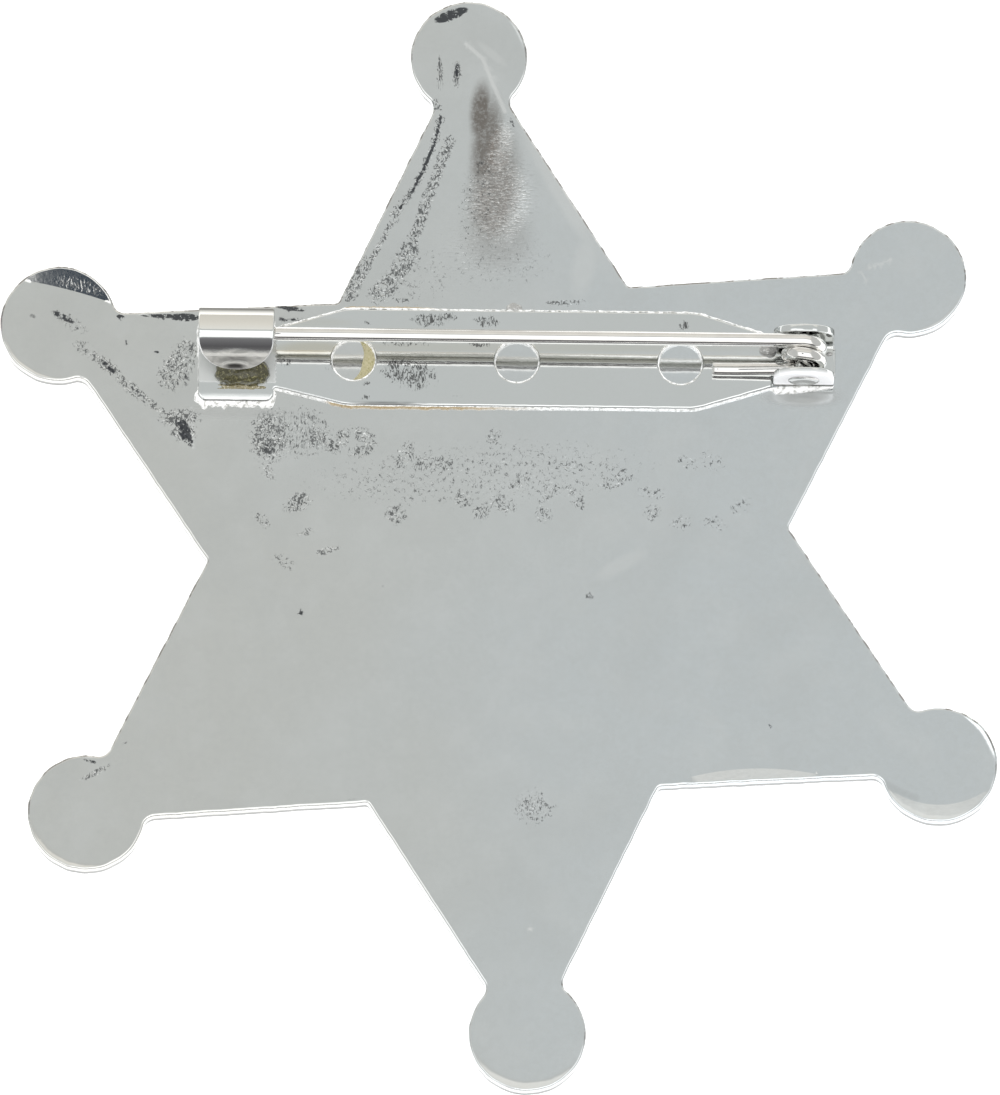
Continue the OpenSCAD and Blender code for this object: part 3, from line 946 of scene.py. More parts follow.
def dome_rise(distance):
    """Height of a ball's front under the front face, at a distance from its centre."""
    rise = FRONT_Z
    centre = (DOME_EDGE ** 2 - SEAT_R ** 2 + rise ** 2) / (2 * rise)
    radius = math.hypot(SEAT_R, centre)
    dome = np.sqrt(np.maximum(radius ** 2 - distance ** 2, 0)) - (centre - rise)
    return np.where(distance < DOME_EDGE, np.minimum(dome, rise), 0)


def wavy(ring, most, per_mm, seed):
    """A ring with small uneven places, at most that far from its line."""
    shift = np.array([noise.noise(Vector((px * per_mm, py * per_mm, seed))) for px, py in ring])
    return ring + outward(ring) * (most * shift)[:, None]


# The star's outline is uneven by this much, and the front's domes are cut into these rings
STAR_UNEVEN, STAR_WAVES = 0.035, 1.4
DOME_RINGS = (0.01, 0.3, SEAT_R, 1.0, 1.4, 1.8, 2.2, 2.6, 2.9, 3.15)
FRONT_GRID = 2.0


def back_points(ring, inset):
    """Points of the back, closest at the marks, the rims and the creases."""
    points = lattice(ring.min(axis=0), ring.max(axis=0), STAR_GRID)
    points = thinned(np.concatenate((fine_points(FINE_GRID), points)), FINE_GRID * 0.8)
    return clear_of(with_creases(points), [ring - outward(ring) * inset], 0.05)


def front_points(ring, inset):
    """Points of the front: rings on the domes and wide steps between them."""
    points = lattice(ring.min(axis=0), ring.max(axis=0), FRONT_GRID)
    for ball in BALLS:
        points = points[np.linalg.norm(points - ball, axis=1) > DOME_EDGE + 0.3]
        for radius in DOME_RINGS:
            count = max(6, round(radius * 16))
            turns = 2 * math.pi * np.arange(count) / count
            points = np.concatenate((points, round_points(ball, radius, turns)))
    return clear_of(points, [ring - outward(ring) * inset], 0.12)


def star_edge(made, ring, levels, height):
    """Stores where the edge is ragged, where its low side gets a painted dark line of shade and where its
    brim gets painted glints and painted dark dashes.
    """
    half = PLATE_T / 2
    uphill = np.tile(outward(ring)[:, 1], levels)
    on_ring = slice(0, len(uphill))
    outline = np.clip((0.4 - half - height) / 0.1, 0, 1) * (height > -half + 0.01)
    outline[on_ring] *= np.clip((-uphill - 0.2) / 0.25, 0, 1)
    brim = ((height > half - EDGE_R) & (height < half - 0.0001)).astype(float)
    brim[on_ring] *= np.clip((uphill + 0.3) / 0.4, 0, 1)
    store(made, "edge", np.clip((half - np.abs(height)) / 0.02, 0, 1))
    store(made, "outline", outline)
    store(made, "brim", brim)


def make_star(finish):
    ring = wavy(star_outline(), STAR_UNEVEN, STAR_WAVES, 2.0)
    flat_steps = [(0.28, PLATE_T / 2), (0.22, PLATE_T / 2)]
    profile = flat_steps + round_edge(PLATE_T, EDGE_R)
    back, front = back_points(ring, profile[0][0]), front_points(ring, profile[-1][0])
    vertices, faces = sheet([ring], profile, back, front)
    x, y, height = vertices.T
    share = np.clip(height / PLATE_T + 0.5, 0, 1)
    z = FRONT_Z + PLATE_T / 2 + height + (rim_rise(x, y, ring) + flap_rise(x, y)) * share
    for ball in BALLS:
        z -= dome_rise(np.hypot(x - ball[0], y - ball[1])) * (1 - share)
    shape = np.column_stack((x, y, z))
    made = piece("plated_star", shape, faces, finish, "badge", "star")
    star_marks(made)
    star_edge(made, ring, len(profile), height)
    sharpen_creases(made)
    return made


# Pin bar: one flat blank with a tab for the catch and one for each ear, then bent

BAR_EDGE_R = 0.09
BAR_STEP = 0.16
BEND_STEP = 0.1
SLIT = 0.06
# Halfway across each slit, so that an uneven edge bends with its own tab
CATCH_SIDE = CATCH_X1 + SLIT / 2
EAR_SIDE = EAR_X - SLIT / 2
BEND_RUN = BEND_MID * math.pi / 2
WALL_RUN = CURL_Z - FOOT_Z - BEND_OUT
EAR_RUN = BEND_RUN + EAR_TOP - FOOT_Z - BEND_OUT
CATCH_MID = (BAR_X0 + CATCH_X1) / 2

# The catch from its foot on, each: length along the sheet and how far it turns, in degrees
CATCH_FOLDS = (
    (BEND_RUN, 90),
    (WALL_RUN, 0),
    (CURL_MID * math.radians(85), 85),
    (0.24, 43),
    (1.0, 13),
    (1.56, 20),
)
EAR_FOLDS = ((BEND_RUN, 90), (EAR_RUN - BEND_RUN, 0))
PAINTED_REFLECTION_RUN = sum(length for length, _ in CATCH_FOLDS[:4]) + 0.8
CATCH_RUN = sum(length for length, _ in CATCH_FOLDS)


def folded(run, height, folds):
    """Where a point is on a sheet that lies along Y and then folds up, from its run past the first fold."""
    y, z, heading = np.minimum(run, 0.0), np.zeros_like(run), np.zeros_like(run)
    start, begun = 0.0, 0.0
    for length, degrees in folds:
        part = np.clip(run - start, 0, length)
        bend = math.radians(degrees) / length
        angle = begun + bend * part
        if degrees:
            y = y + (np.sin(angle) - math.sin(begun)) / bend
            z = z - (np.cos(angle) - math.cos(begun)) / bend
        else:
            y, z = y + part * math.cos(begun), z + part * math.sin(begun)
        heading = heading + bend * part
        start, begun = start + length, begun + math.radians(degrees)
    return y - height * np.sin(heading), z + height * np.cos(heading)


def tongue_curve(side):
    """The round end of the catch's tongue, in the blank, from its side to its tip."""
    look = math.radians(TONGUE_PAST / 2)
    radius = CATCH_W / 2
    run = np.linspace(CATCH_RUN - 4, CATCH_RUN, 200)
    y, z = folded(run, 0.0, CATCH_FOLDS)
    down = -y * math.cos(look) - z * math.sin(look)
    points = []
    for t in np.linspace(0, math.pi / 2, 16):
        at = np.interp(down[-1] - radius + radius * math.sin(t), down, run)
        points.append((CATCH_MID + side * radius * math.cos(t), NECK_TOP + at))
    return points


def bar_corners():
    """Corners of the blank as (x, y, radius), anticlockwise from the catch's foot."""
    ear_x1 = EAR_X + EAR_W
    neck_low = NECK_TOP - NECK_W
    flare_x0, flare_x1 = CATCH_X1 + CATCH_FLARE, EAR_X - HINGE_FLARE
    half = BAR_W / 2
    corners = [
        (BAR_X0, FOOT_Y - FOOT_LIP, FOOT_ROUND),
        (CATCH_X1, FOOT_Y - FOOT_LIP, FOOT_ROUND),
        (CATCH_X1, neck_low, 0.15),
        (flare_x0, BAR_Y - half, 4),
        (flare_x1, BAR_Y - half, 4),
        (EAR_X - SLIT, BAR_Y - PAD_HALF, 0.2),
        (EAR_X - SLIT, BAR_Y - EAR_BEND, 0),
        (EAR_X, BAR_Y - EAR_BEND, 0),
        (EAR_X, BAR_Y - EAR_BEND - EAR_RUN, EAR_ROUND),
        (ear_x1, BAR_Y - EAR_BEND - EAR_RUN, EAR_ROUND),
        (ear_x1, BAR_Y - EAR_BEND, 0.05),
        (BAR_X1, BAR_Y - EAR_BEND, 0.04),
        (BAR_X1, BAR_Y + EAR_BEND, 0.04),
        (ear_x1, BAR_Y + EAR_BEND, 0.05),
        (ear_x1, BAR_Y + EAR_BEND + EAR_RUN, EAR_ROUND),
        (EAR_X, BAR_Y + EAR_BEND + EAR_RUN, EAR_ROUND),
        (EAR_X, BAR_Y + EAR_BEND, 0),
        (EAR_X - SLIT, BAR_Y + EAR_BEND, 0),
        (EAR_X - SLIT, BAR_Y + PAD_HALF, 0.2),
        (flare_x1, BAR_Y + half, 4),
        (flare_x0, BAR_Y + half, 4),
        (CATCH_X1, NECK_TOP, 0.05),
    ]
    corners += [(px, py, 0) for px, py in tongue_curve(1)]
    corners += [(px, py, 0) for px, py in reversed(tongue_curve(-1)[:-1])]
    return corners


def hole_centres():
    """Centres of the bar's three holes, from the left."""
    return [np.array((BAR_X0 / 2 + BAR_X1 / 2 + i * HOLE_PITCH, BAR_Y - HOLE_DROP)) for i in (-1, 0, 1)]


def circle(centre, radius, step):
    """Clockwise ring, so that the metal lies on its left."""
    count = math.ceil(2 * math.pi * radius / step)
    return round_points(centre, radius, -2 * math.pi * np.arange(count) / count)


def bent(vertices):
    """Folds the blank's catch and ears."""
    x, v, height = vertices.T
    mid = FOOT_Z + BAR_T / 2
    y, z = v.copy(), mid + height
    tab = (x < CATCH_SIDE) & (v > NECK_TOP)
    fold_y, fold_z = folded(v - NECK_TOP, height, CATCH_FOLDS)
    y, z = np.where(tab, NECK_TOP + fold_y, y), np.where(tab, mid + fold_z, z)
    for sign in (-1, 1):
        run = sign * (v - BAR_Y) - EAR_BEND
        ear = (x > EAR_SIDE) & (run > 0)
        fold_y, fold_z = folded(run, height, EAR_FOLDS)
        y = np.where(ear, BAR_Y + sign * (EAR_BEND + fold_y), y)
        z = np.where(ear, mid + fold_z, z)
    return np.column_stack((x, y, z))


# Marks on the bar's flat, each: what it is, the photograph's pixel, its length, width and turn, its strength
BAR_MARKS = (
    ("speckle", 430, 320, 34, 13, 0, 0.9),
    ("speckle", 446, 316, 22, 9, 0, 0.7),
    ("speckle", 488, 321, 26, 11, 0, 1.0),
    ("speckle", 367, 323, 9, 5, 0, 0.9),
    ("speckle", 400, 343, 40, 6, 0, 0.7),
    ("speckle", 425, 343, 20, 6, 0, 0.7),
    ("speckle", 480, 344, 20, 6, 0, 0.9),
    ("speckle", 408, 372, 54, 28, -10, 0.95),
    ("speckle", 416, 380, 22, 18, 70, 1.0),
    ("speckle", 284, 361, 14, 11, -30, 0.7),
    ("speckle", 330, 365, 9, 12, -30, 0.5),
    ("speckle", 366, 383, 7, 5, 0, 0.8),
    ("speckle", 366, 397, 12, 6, 0, 0.7),
    ("speckle", 456, 396, 12, 6, 0, 0.4),
    ("speckle", 684, 325, 12, 9, 20, 0.8),
    # A painted dark line of shade along the bar's lower edge.
    ("dark", 385, 403.5, 70, 1.8, 0, 0.8),
    ("warm", 310, 348, 70, 13, 2, 1.0),
    ("warm", 500, 347, 460, 9, 0.5, 0.5),
    ("warm", 310, 322, 80, 9, 0, 0.35),
)


BAR_UNEVEN, BAR_WAVES = 0.015, 2.0
DENT, FOOT_ROLL, ROLL_RUN = 0.12, 0.024, 0.62
# The tongue's dent, the painted shade in it (the lens) and the painted darker shade of the arch behind it,
# each: how far its middle is from the tip, its length across and its width, in mm
TONGUE_MARKS = ((0.45, 1.3, 0.7), (0.3, 1.15, 0.42), (1.0, 1.9, 0.5))


def bar_blank():
    """The flat blank's vertices, as (x, y, height), and its faces. The tabs have the closest points."""
    outline = wavy(rounded(bar_corners(), BEND_STEP * 1.4), BAR_UNEVEN, BAR_WAVES, 5.0)
    rings = [outline] + [circle(c, HOLE_R, BEND_STEP) for c in hole_centres()]
    profile = round_edge(BAR_T, BAR_EDGE_R, steps=4)
    flat = lattice(outline.min(axis=0), outline.max(axis=0), BAR_STEP)
    on_tab = (flat[:, 0] < CATCH_X1) & (flat[:, 1] > NECK_TOP - 0.1)
    on_tab |= (flat[:, 0] > EAR_X - SLIT) & (np.abs(flat[:, 1] - BAR_Y) > EAR_BEND - 0.1)
    points = [flat[~on_tab]]
    for x0, x1, v0, v1 in (
        (BAR_X0, CATCH_X1, NECK_TOP, outline[:, 1].max()),
        (EAR_X, EAR_X + EAR_W, BAR_Y + EAR_BEND, BAR_Y + EAR_BEND + EAR_RUN),
        (EAR_X, EAR_X + EAR_W, BAR_Y - EAR_BEND - EAR_RUN, BAR_Y - EAR_BEND),
    ):
        x, v = np.meshgrid(np.arange(x0, x1, BAR_STEP * 0.7), np.arange(v0, v1, BEND_STEP))
        points.append(np.column_stack((x.ravel(), v.ravel())))
    inner = [ring - outward(ring) * profile[0][0] for ring in rings]
    points = clear_of(np.concatenate(points), inner, 0.06)
    return sheet(rings, profile, points, points)


def between(value, start, rise, end, fall):
    """1 between two values, fading to 0 at them over the given lengths."""
    return np.clip((value - start) / rise, 0, 1) * np.clip((end - value) / fall, 0, 1)


def bar_fields(flat, shape, dent, lens, arch):
    """What the bar's material reads, by name, from its blank and from its bent shape."""
    x, v, height = flat.T
    run, low_ear = v - NECK_TOP, BAR_Y - EAR_BEND - v
    into_curl = run - BEND_RUN - WALL_RUN
    outer_face = height < 0
    on_catch, on_ear = (x < CATCH_SIDE) & outer_face, (x > EAR_SIDE) & outer_face
    low_part = shape[:, 2] < BAR_Z + 0.01
    fields = painted(("speckle", "dark", "warm"), BAR_MARKS, shape[:, 0], shape[:, 1], BAR_Z)
    fields = {name: values * low_part for name, values in fields.items()}
    fields["shade"] = between(run, BEND_RUN, 0.3, 5.0, 0.5) * (x < CATCH_SIDE)
    fields["dusk"] = between(into_curl, -0.5, 0.2, 1.45, 0.4) * on_catch
    fields["muted_reflection"] = (shape[:, 0] < CATCH_X1 + 0.1) & low_part & (shape[:, 1] > FOOT_Y + 1.0)
    # A painted grey on the tongue's lower face, standing in for its reflection.
    painted_reflection_from = PAINTED_REFLECTION_RUN + 0.08 * np.sin(x * 2.1)
    fields["painted_reflection"] = np.clip((run - painted_reflection_from) / 0.2, 0, 1) * on_catch
    # Painted shade: a dark line along the foot's front edge and one at the lower ear's root; the tongue's
    # lens and arch are painted shade too.
    front = (v < FOOT_Y - FOOT_LIP + 0.05) & (x < CATCH_X1 - 0.2) & (height < 0.16)
    ear_root = np.clip(1.3 - np.abs(low_ear - 0.85) / 0.15, 0, 1) * on_ear
    for dark in (lens, 0.45 * arch, 0.75 * front, 0.8 * ear_root):
        fields["dark"] = np.maximum(fields["dark"], dark)
    # A painted white glow on the lower ear's outer face and on the catch's sides, standing in for their
    # bright reflection.
    glowing_ear = np.clip((low_ear - 1.0) / 0.1, 0, 1) * on_ear
    side = (np.abs(height) < BAR_T / 2 - 0.001) & (run > PAINTED_REFLECTION_RUN - 0.7) & (x < CATCH_SIDE)
    fields["white_glow"] = np.maximum(glowing_ear, 0.5 * (side & (dent == 0)))
    return fields


def make_bar(finish):
    flat, faces = bar_blank()
    x, v = flat[:, 0], flat[:, 1]
    tongue = (v - NECK_TOP > CATCH_RUN - 3) & (x < CATCH_SIDE)
    dent, lens, arch = (
        bell(x, v - NECK_TOP, CATCH_MID - 0.05, CATCH_RUN - back, length, width, 0) * tongue
        for back, length, width in TONGUE_MARKS
    )
    flat[:, 2] += DENT * dent
    roll = np.clip((FOOT_Y + 0.5 - v) / ROLL_RUN, 0, 1) * (x < CATCH_X1 + 0.05)
    sunk = FOOT_ROLL * roll ** 2 * (flat[:, 2] > 0)
    shape = bent(np.column_stack((x, v, flat[:, 2] - sunk)))
    made = piece("plated_bar", shape, faces, finish, "badge", "pin_bar")
    for name, values in bar_fields(flat, shape, dent, lens, arch).items():
        store(made, name, values)
    return made


# Pin wire: its point, where its stem is full, and its tail

POINT_X, POINT_R = WIRE_LOW[0], 0.07
STEM_X0 = CATCH_X1 + 0.3
TAIL_LEN, TAIL_Z = 5.4, BAR_Z + 0.04 + WIRE_R


def tube(points, radii, sides):
    """Vertices and faces of a closed tube through points."""
    ways = np.gradient(points, axis=0)
    ways /= np.linalg.norm(ways, axis=1)[:, None]
    vertices = []
    for centre, way, radius in zip(points, ways, radii):
        across = unit(np.array((0.0, 1.0, 0.0)) - way[1] * way)
        up = np.cross(way, across)
        for k in range(sides):
            a = 2 * math.pi * k / sides
            vertices.append(centre + radius * (math.cos(a) * across + math.sin(a) * up))
    faces = grid_faces(len(points), sides, True)
    faces.append(tuple(range(sides))[::-1])
    faces.append(tuple(range(len(vertices) - sides, len(vertices))))
    return np.array(vertices), faces


def wire_line():
    """(x, y, z, radius) along the pin: point, stem, coil and tail."""
    line_points = []
    for t in np.linspace(0, math.pi / 2, 6)[:-1]:
        radius = max(0.004, POINT_R * math.sin(t))
        line_points.append((POINT_X + POINT_R * (1 - math.cos(t)), STEM_Y, STEM_Z, radius))
    for t in np.linspace(0, 1, 14):
        x = POINT_X + POINT_R + t * (STEM_X0 - POINT_X - POINT_R)
        line_points.append((x, STEM_Y, STEM_Z, POINT_R + (WIRE_R - POINT_R) * t))
    for x in np.arange(STEM_X0 + 0.5, HINGE_X - 0.4, 0.5):
        line_points.append((x, STEM_Y, STEM_Z, WIRE_R))
    for turn in np.linspace(0, COIL_TURNS * 2 * math.pi, 90):
        x, z = HINGE_X + COIL_R * math.sin(turn), HINGE_Z + COIL_R * math.cos(turn)
        line_points.append((x, STEM_Y - TURN_PITCH * turn / (2 * math.pi), z, WIRE_R))
    end_y, end_z = line_points[-1][1:3]
    for t in np.linspace(0, 1, 16)[1:]:
        z = end_z + (TAIL_Z - end_z) * min(1, 1.4 * t)
        line_points.append((HINGE_X - TAIL_LEN * t, end_y, z, WIRE_R))
    for inset in (0.02, 0.05):
        line_points.append((HINGE_X - TAIL_LEN - inset, end_y, TAIL_Z, WIRE_R - inset))
    return np.array(line_points)


def make_wire(finish):
    x, y, z, radii = wire_line().T
    vertices, faces = tube(np.column_stack((x, y, z)), radii, 28)
    made = piece("pin_wire", vertices, faces, finish, "pin", "pin")
    # Painted shade along the underside of the stem.
    tilt = math.pi / 2 - ELEVATION
    down = -math.sin(tilt) * (vertices[:, 1] - STEM_Y) - math.cos(tilt) * (vertices[:, 2] - STEM_Z)
    under = np.clip((down / WIRE_R - 0.93) / 0.04, 0, 1)
    store(made, "underside_shade", under * (vertices[:, 0] < HINGE_X - 1.5) * (vertices[:, 2] > STEM_Z - WIRE_R - 0.01))
    return made


# Rivet

HEAD_R, HEAD_T, SHANK_R, RIVET_GAP = 0.95, 0.15, 0.5, 0.03


def make_rivet(finish):
    """Shank with two flat heads, each a little dished."""
    face = PAD_HALF + RIVET_GAP
    half = [
        (0.0, face + HEAD_T - 0.05), (0.3, face + HEAD_T - 0.04), (0.5, face + HEAD_T - 0.01),
        (0.62, face + HEAD_T), (0.78, face + HEAD_T - 0.01), (0.9, face + HEAD_T - 0.06),
        (HEAD_R, face + 0.05), (HEAD_R - 0.02, face), (SHANK_R + 0.02, face), (SHANK_R, face - 0.02),
    ]
    outline = half + [(r, -y) for r, y in reversed(half)]
    sides = 48
    vertices = []
    for radius, along in outline:
        radius = max(radius, 0.002)
        for k in range(sides):
            a = 2 * math.pi * k / sides
            x, z = HINGE_X + radius * math.cos(a), HINGE_Z + radius * math.sin(a)
            vertices.append((x, BAR_Y + along, z))
    faces = grid_faces(len(outline), sides, True)
    faces.append(tuple(range(sides)))
    faces.append(tuple(range(len(vertices) - sides, len(vertices))))
    return piece("hinge_rivet", vertices, faces, finish, "badge", "rivet")


# Bond: the squeeze-out round the bar

def footprint():
    """Outline of what lies on the star: foot, neck, bar and hinge pad."""
    ear_x1 = EAR_X + EAR_W
    half = BAR_W / 2
    corners = [
        (BAR_X0, FOOT_Y - FOOT_LIP, FOOT_ROUND),
        (CATCH_X1, FOOT_Y - FOOT_LIP, FOOT_ROUND),
        (CATCH_X1, NECK_TOP - NECK_W, 0.15),
        (CATCH_X1 + CATCH_FLARE, BAR_Y - half, 4),
        (EAR_X - HINGE_FLARE, BAR_Y - half, 4),
        (EAR_X, BAR_Y - PAD_HALF, 2),
        (ear_x1, BAR_Y - PAD_HALF + 0.25, 0.2),
        (ear_x1, BAR_Y + PAD_HALF - 0.25, 0.2),
        (EAR_X, BAR_Y + PAD_HALF, 2),
        (EAR_X - HINGE_FLARE, BAR_Y + half, 4),
        (CATCH_X1 + CATCH_FLARE, BAR_Y + half, 4),
        (CATCH_X1, NECK_TOP, 0.2),
        (CATCH_X1 - 0.1, WALL_Y - 0.2, 0.1),
        (BAR_X0 + 0.1, WALL_Y - 0.2, 0.1),
        (BAR_X0, NECK_TOP, 0.2),
    ]
    return rounded(corners, 0.12)


def rough_noise(x, y, per_mm, seed):
    """Uneven values from about -1 to 1 at points of the plane."""
    return np.array([noise.noise(Vector((a * per_mm, b * per_mm, seed))) for a, b in zip(x, y)])


# Yellowed stretches of the bond along the bar, each: its ends and its row in the photograph's pixels,
# and how far it fades at its right end, in mm
AMBER_ABOVE, AMBER_BELOW = (340, 450, 309, 2), (322, 560, 407, 6)
AMBER_START = 0.6


def yellowed(x, left, right, row, fade):
    """How yellow one stretch of the bond is at each x."""
    return between(x, seen(left, row)[0], AMBER_START, seen(right, row)[0], fade)


def amber_share(x, y):
    """Where the bond has yellowed: above the bar on the left and below it in the middle."""
    return np.maximum(yellowed(x, *AMBER_ABOVE) * (y > BAR_Y), yellowed(x, *AMBER_BELOW) * (y < BAR_Y))


SLOPE_STEPS, LAP_STEPS = 7, 4


def bead(name, ring, swell, lap, climb, tall, amber, finish):
    """Bead along a ring: its width outside the metal, its lap over the bar and how far it tops the bar."""
    out = outward(ring)
    sides = SLOPE_STEPS + LAP_STEPS
    slope = math.pi / 2 * np.arange(SLOPE_STEPS) / SLOPE_STEPS
    over = np.arange(LAP_STEPS) / (LAP_STEPS - 1)
    aside = np.concatenate((swell[:, None] * np.cos(slope), -lap[:, None] * over), axis=1)
    top = (BAR_Z - BACK_Z + 0.01 + climb[:, None]) * np.reshape(tall, (-1, 1))
    up = np.concatenate((top * np.sin(slope), top - (climb[:, None] + 0.03) * over ** 2), axis=1)
    plane = ring[:, None] + out[:, None] * aside[:, :, None]
    vertices = np.concatenate((plane, BACK_Z - 0.01 + up[:, :, None]), axis=2).transpose(1, 0, 2)
    faces = grid_faces(sides, len(ring), True)
    made = piece(name, vertices.reshape(-1, 3), faces, finish, "badge", None)
    yellow = np.where(np.arange(sides) < SLOPE_STEPS - 1, 1.0, 0.0)
    store(made, "amber", (yellow[:, None] * amber).ravel())
    return made


def bar_bond(finish):
    """Bead round the bar: widest and lowest at the foot and at the ear, none at the bar's right end."""
    ring = footprint()
    x, y = ring.T
    above, amber = y > BAR_Y, amber_share(x, y)
    at_end = x > EAR_X + EAR_W - 0.05
    at_foot = np.clip((FOOT_Y + 0.6 - y) / 0.5, 0, 1) * np.clip((CATCH_X1 + 0.3 - x) / 0.3, 0, 1)
    at_ear = np.clip((BAR_Y - PAD_HALF + 0.4 - y) / 0.3, 0, 1) * np.clip((x - EAR_X + 0.2) / 0.3, 0, 1)
    tatter = rough_noise(x, y, 3.5, 6.1)
    swell = 0.02 + 0.04 * rough_noise(x, y, 1.6, 3.1) + 0.07 * rough_noise(x, y, 5.0, 7.7) + 0.1 * above
    swell = swell + 0.12 * amber + (0.3 + 0.25 * tatter) * at_foot + 0.36 * at_ear
    swell = np.clip(np.where(at_end, 0.02, swell), 0.02, 0.6)
    lap = 0.01 + 0.08 * rough_noise(x, y, 3.0, 1.3) + 0.08 * rough_noise(x, y, 8.0, 9.3) + 0.02 * above
    lap = np.clip(lap, 0.0, 0.12) * (1 - at_foot) * (1 - at_end)
    climb = np.clip(0.02 + 0.05 * rough_noise(x, y, 7.0, 2.3), 0.0, 0.06)
    tall = 1 - np.maximum(0.4 * at_foot, 0.35 * (y < BAR_Y))
    bead("bond_bead", ring, swell, lap, climb, tall, amber, finish)


def hole_bond(i, centre, finish):
    """Bead round one of the bar's holes, widest at its low side."""
    ring = circle(centre, HOLE_R, 0.08)
    x, y = ring.T
    low = np.clip((centre[1] - y) / HOLE_R, 0, 1)
    swell = np.clip(0.03 + 0.03 * low + 0.07 * rough_noise(x, y, 5.0, 4.4 + i), 0.02, 0.2)
    lap = np.clip(0.02 + 0.07 * low + 0.1 * rough_noise(x, y, 4.0, 5.4 + i), 0.0, 0.18)
    climb = np.clip(0.01 + 0.03 * rough_noise(x, y, 6.0, 8.2 + i), 0.0, 0.04)
    bead(f"hole_bond_{i + 1}", ring, swell, lap, climb, 1.0, np.zeros(len(ring)), finish)


def make_bond(finish):
    bar_bond(finish)
    for i, centre in enumerate(hole_centres()):
        hole_bond(i, centre, finish)


def fuller(value, power):
    """A sine or cosine made fuller, for a drop with squarer sides."""
    return math.copysign(abs(value) ** power, value)


DROP_ROWS, DROP_SIDES = 14, 56


def drop(name, px, py, base_z, half_x, half_y, height, power, uneven, finish):
    """Uneven drop of bond. Its power is 1 for a round one, less for a squarer one."""
    cx, cy = seen(px, py, base_z)
    vertices = []
    for i in range(DROP_ROWS):
        lift = math.pi / 2 * i / (DROP_ROWS - 1)
        spread, rise = fuller(math.cos(lift), power), fuller(math.sin(lift), power)
        for k in range(DROP_SIDES):
            a = 2 * math.pi * k / DROP_SIDES
            x, y = spread * fuller(math.cos(a), power), spread * fuller(math.sin(a), power)
            where = Vector((half_x * x * 3 + cx, half_y * y * 3 + cy, 3 * rise))
            bump = 1 + uneven * noise.noise(where)
            vertices.append((cx + half_x * x * bump, cy + half_y * y * bump, base_z + height * rise * bump))
    faces = grid_faces(DROP_ROWS, DROP_SIDES, True)
    made = piece(name, vertices, faces, finish, "badge", None)
    store(made, "amber", np.ones(len(vertices)))
    return made


# Colours of the bond where it isn't white, each: its own and its flecks'
AMBER = (0.62, 0.47, 0.26, 1), (0.9, 0.78, 0.56, 1)
YELLOW = (0.62, 0.57, 0.36, 1), (0.45, 0.42, 0.2, 1)
# The olive bond's lighter flecks and the gold bond's near-white flecks are painted glints.
OLIVE = (0.08, 0.074, 0.036, 1), (0.33, 0.31, 0.15, 1)
GOLD = (0.4, 0.35, 0.2, 1), (1.0, 0.95, 0.8, 1)
CLEAR = (0.55, 0.55, 0.54, 1), (1.0, 1.0, 1.0, 1)

# Drops, each: its place in the photograph, what it stands on, its half sizes and height in mm, how
# square and how uneven it is, and its colours
DROPS = (
    ("edge_drop", 514, 310, BACK_Z, 0.5, 0.42, 0.55, 1.0, 0.2, CLEAR),
    ("hinge_drop", 769, 350, BAR_Z, 0.55, 0.42, 0.5, 1.0, 0.25, CLEAR),
    # A clear drop that glows: a painted highlight at the hinge's end.
    ("hinge_glint", 830, 354, BAR_Z - 0.05, 0.22, 0.14, 0.16, 1.0, 0.2, CLEAR),
    # Olive bond under the tongue's tip, whose dark colour is partly painted shade that stands in for the
    # tongue's mirrored image.
    ("catch_drop", 242, 372, BAR_Z - 0.05, 1.6, 0.86, 1.1, 0.68, 0.12, OLIVE),
    ("catch_rim", 243, 387.0, BAR_Z - 0.02, 1.22, 0.12, 0.12, 0.85, 0.8, GOLD),
)


POOL_FROM, POOL_TO, POOL_W, POOL_H, POOL_ACROSS = -95, 72, 0.75, 0.16, 9


def amber_pool(finish):
    """Crescent of yellowed bond in the left hole, along its right side."""
    centre = hole_centres()[0]
    turns = np.radians(np.linspace(POOL_FROM, POOL_TO, 40))
    widths = POOL_W * np.cos((turns + 0.2) * 1.05) ** 0.8
    vertices = []
    for turn, width in zip(turns, widths):
        for k in range(POOL_ACROSS):
            share = k / (POOL_ACROSS - 1)
            radius = HOLE_R - 0.02 - width * share
            vertices.append((
                centre[0] + radius * math.cos(turn),
                centre[1] + radius * math.sin(turn),
                BACK_Z + 0.004 + POOL_H * math.sqrt(1 - share) * min(1.0, width * 4),
            ))
    faces = grid_faces(len(turns), POOL_ACROSS, False)
    made = piece("amber_pool", vertices, faces, finish, "badge", None)
    store(made, "amber", np.ones(len(vertices)))


# World, floor and camera

# What is mirrored from each direction in the YZ plane: degrees from overhead towards the camera's side,
# and the brightness in red, green and blue
SKY = (
    (-180, (0.62, 0.6, 0.56)),
    (-60, (0.78, 0.76, 0.71)),
    (-24, (0.9, 0.885, 0.84)),
    (-20, (0.58, 0.585, 0.57)),
    (-17, (0.605, 0.62, 0.61)),
    (-10.5, (0.615, 0.635, 0.63)),
    (-7.5, (1.35, 1.35, 1.34)),
    (4, (1.5, 1.5, 1.49)),
    (57, (1.3, 1.3, 1.28)),
    (60, (0.4, 0.4, 0.4)),
    (66, (0.2, 0.195, 0.2)),
    (78, (0.11, 0.105, 0.11)),
    (89, (0.2, 0.195, 0.19)),
    (92, (0.72, 0.71, 0.68)),
    (180, (0.62, 0.6, 0.56)),
)
# A dark panel on the left: how far aside and ahead its edges are, from no panel to panel, in degrees
PANEL = (0.05, 0.065, 0.085)
PANEL_ASIDE, PANEL_AHEAD = ((-4.2, -5.4), (-15.0, -12.0)), ((2.0, 5.0), (20.0, 17.0))
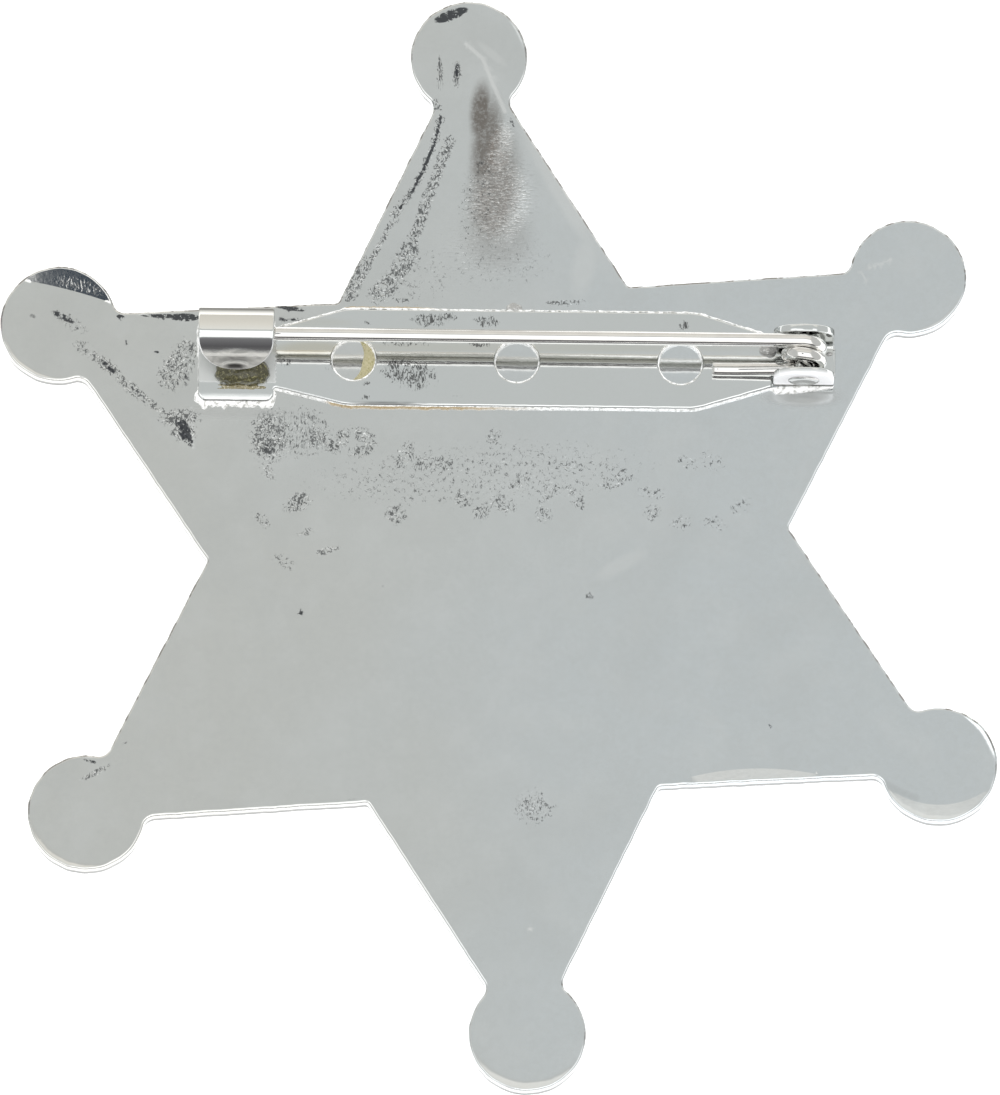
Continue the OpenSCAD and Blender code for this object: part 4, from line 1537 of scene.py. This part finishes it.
# An even grey far to either side, and where it begins, in degrees
ASIDE = (0.6, 0.61, 0.6)
ASIDE_FROM, ASIDE_TO = 26.0, 38.0


def make_world():
    world = bpy.data.worlds.new("studio")
    world.use_nodes = True
    n = Nodes(world.node_tree)
    shader = world.node_tree.nodes["Background"]
    way = n.add("ShaderNodeTexCoord").outputs["Generated"]
    parts = n.add("ShaderNodeSeparateXYZ", {"Vector": way}).outputs
    angle = n.math("ARCTAN2", n.times(parts["Y"], -1.0), parts["Z"])
    share = n.plus(n.math("DIVIDE", angle, 2 * math.pi), 0.5)
    ramp = n.add("ShaderNodeValToRGB", {"Fac": share})
    stops = ramp.color_ramp.elements
    for i, (degrees, colour) in enumerate(SKY):
        at = degrees / 360 + 0.5
        stop = stops[i] if i < 2 else stops.new(at)
        stop.position = at
        stop.color = (*colour, 1)
    aside = n.times(n.math("ARCSINE", parts["X"]), 180 / math.pi)
    ahead = n.times(angle, 180 / math.pi)
    panel = 1.0
    for way, edges in ((aside, PANEL_ASIDE), (ahead, PANEL_AHEAD)):
        for outer, inner in edges:
            panel = n.times(panel, n.ramp(way, outer, inner))
    far_aside = n.ramp(n.math("ABSOLUTE", aside), ASIDE_FROM, ASIDE_TO)
    colour = n.mix(far_aside, ramp.outputs["Color"], (*ASIDE, 1))
    colour = n.mix(panel, colour, (*PANEL, 1))
    world.node_tree.links.new(colour, shader.inputs["Color"])
    bpy.context.scene.world = world


FLOOR_HALF, FLOOR_GLOW = 2.0, 0.62


def make_floor():
    made, n, shader = material("pale_floor")
    shader.inputs["Base Color"].default_value = (0.9, 0.9, 0.9, 1)
    shader.inputs["Roughness"].default_value = 0.9
    shader.inputs["Specular IOR Level"].default_value = 0.0
    shader.inputs["Emission Color"].default_value = WHITE
    shader.inputs["Emission Strength"].default_value = FLOOR_GLOW
    mesh = bpy.data.meshes.new("floor")
    corners = [(x * FLOOR_HALF, y * FLOOR_HALF, 0) for x, y in ((-1, -1), (1, -1), (1, 1), (-1, 1))]
    mesh.from_pydata(corners, [], [(0, 1, 2, 3)])
    mesh.materials.append(made)
    floor = bpy.data.objects.new("floor", mesh)
    bpy.context.scene.collection.objects.link(floor)


def make_camera():
    data = bpy.data.cameras.new("camera")
    data.sensor_width = SENSOR
    data.lens = SENSOR * CAMERA_FAR / (PHOTO_H * PIXEL * MM)
    data.clip_start, data.clip_end = 0.05, 30
    camera = bpy.data.objects.new("camera", data)
    bpy.context.scene.collection.objects.link(camera)
    back = Vector((0, -math.cos(ELEVATION), math.sin(ELEVATION)))
    level, upright = Vector((1, 0, 0)), Vector((0, math.sin(ELEVATION), math.cos(ELEVATION)))
    right = level * math.cos(ROLL) + upright * math.sin(ROLL)
    up = upright * math.cos(ROLL) - level * math.sin(ROLL)
    aim = Vector((0, 0, BACK_Z * MM))
    aim += right * (PHOTO_W / 2 - STAR_PX[0]) * PIXEL * MM
    aim -= up * (PHOTO_H / 2 - STAR_PX[1]) * PIXEL * MM
    place = aim + back * CAMERA_FAR
    camera.matrix_world = Matrix((
        (right.x, up.x, back.x, place.x),
        (right.y, up.y, back.y, place.y),
        (right.z, up.z, back.z, place.z),
        (0, 0, 0, 1),
    ))
    bpy.context.scene.camera = camera


make_camera()
make_world()
make_floor()
make_star(star_plating())
make_bar(bar_plating())
make_rivet(wire_plating("rivet_steel", (0.7, 0.7, 0.69, 1), 1.0))
make_wire(wire_plating("pin_wire", (0.86, 0.85, 0.83, 1), 0.12))
names = ("bond_resin", "yellow_resin", "olive_resin_and_shade", "gold_resin", "clear_resin")
resins = {
    colours: bond_resin(name, *colours)
    for name, colours in zip(names, (AMBER, YELLOW, OLIVE, GOLD, CLEAR))
}
make_bond(resins[AMBER])
amber_pool(resins[YELLOW])
for *shape, colours in DROPS:
    drop(*shape, resins[colours])

bpy.context.scene.view_settings.view_transform = "Standard"
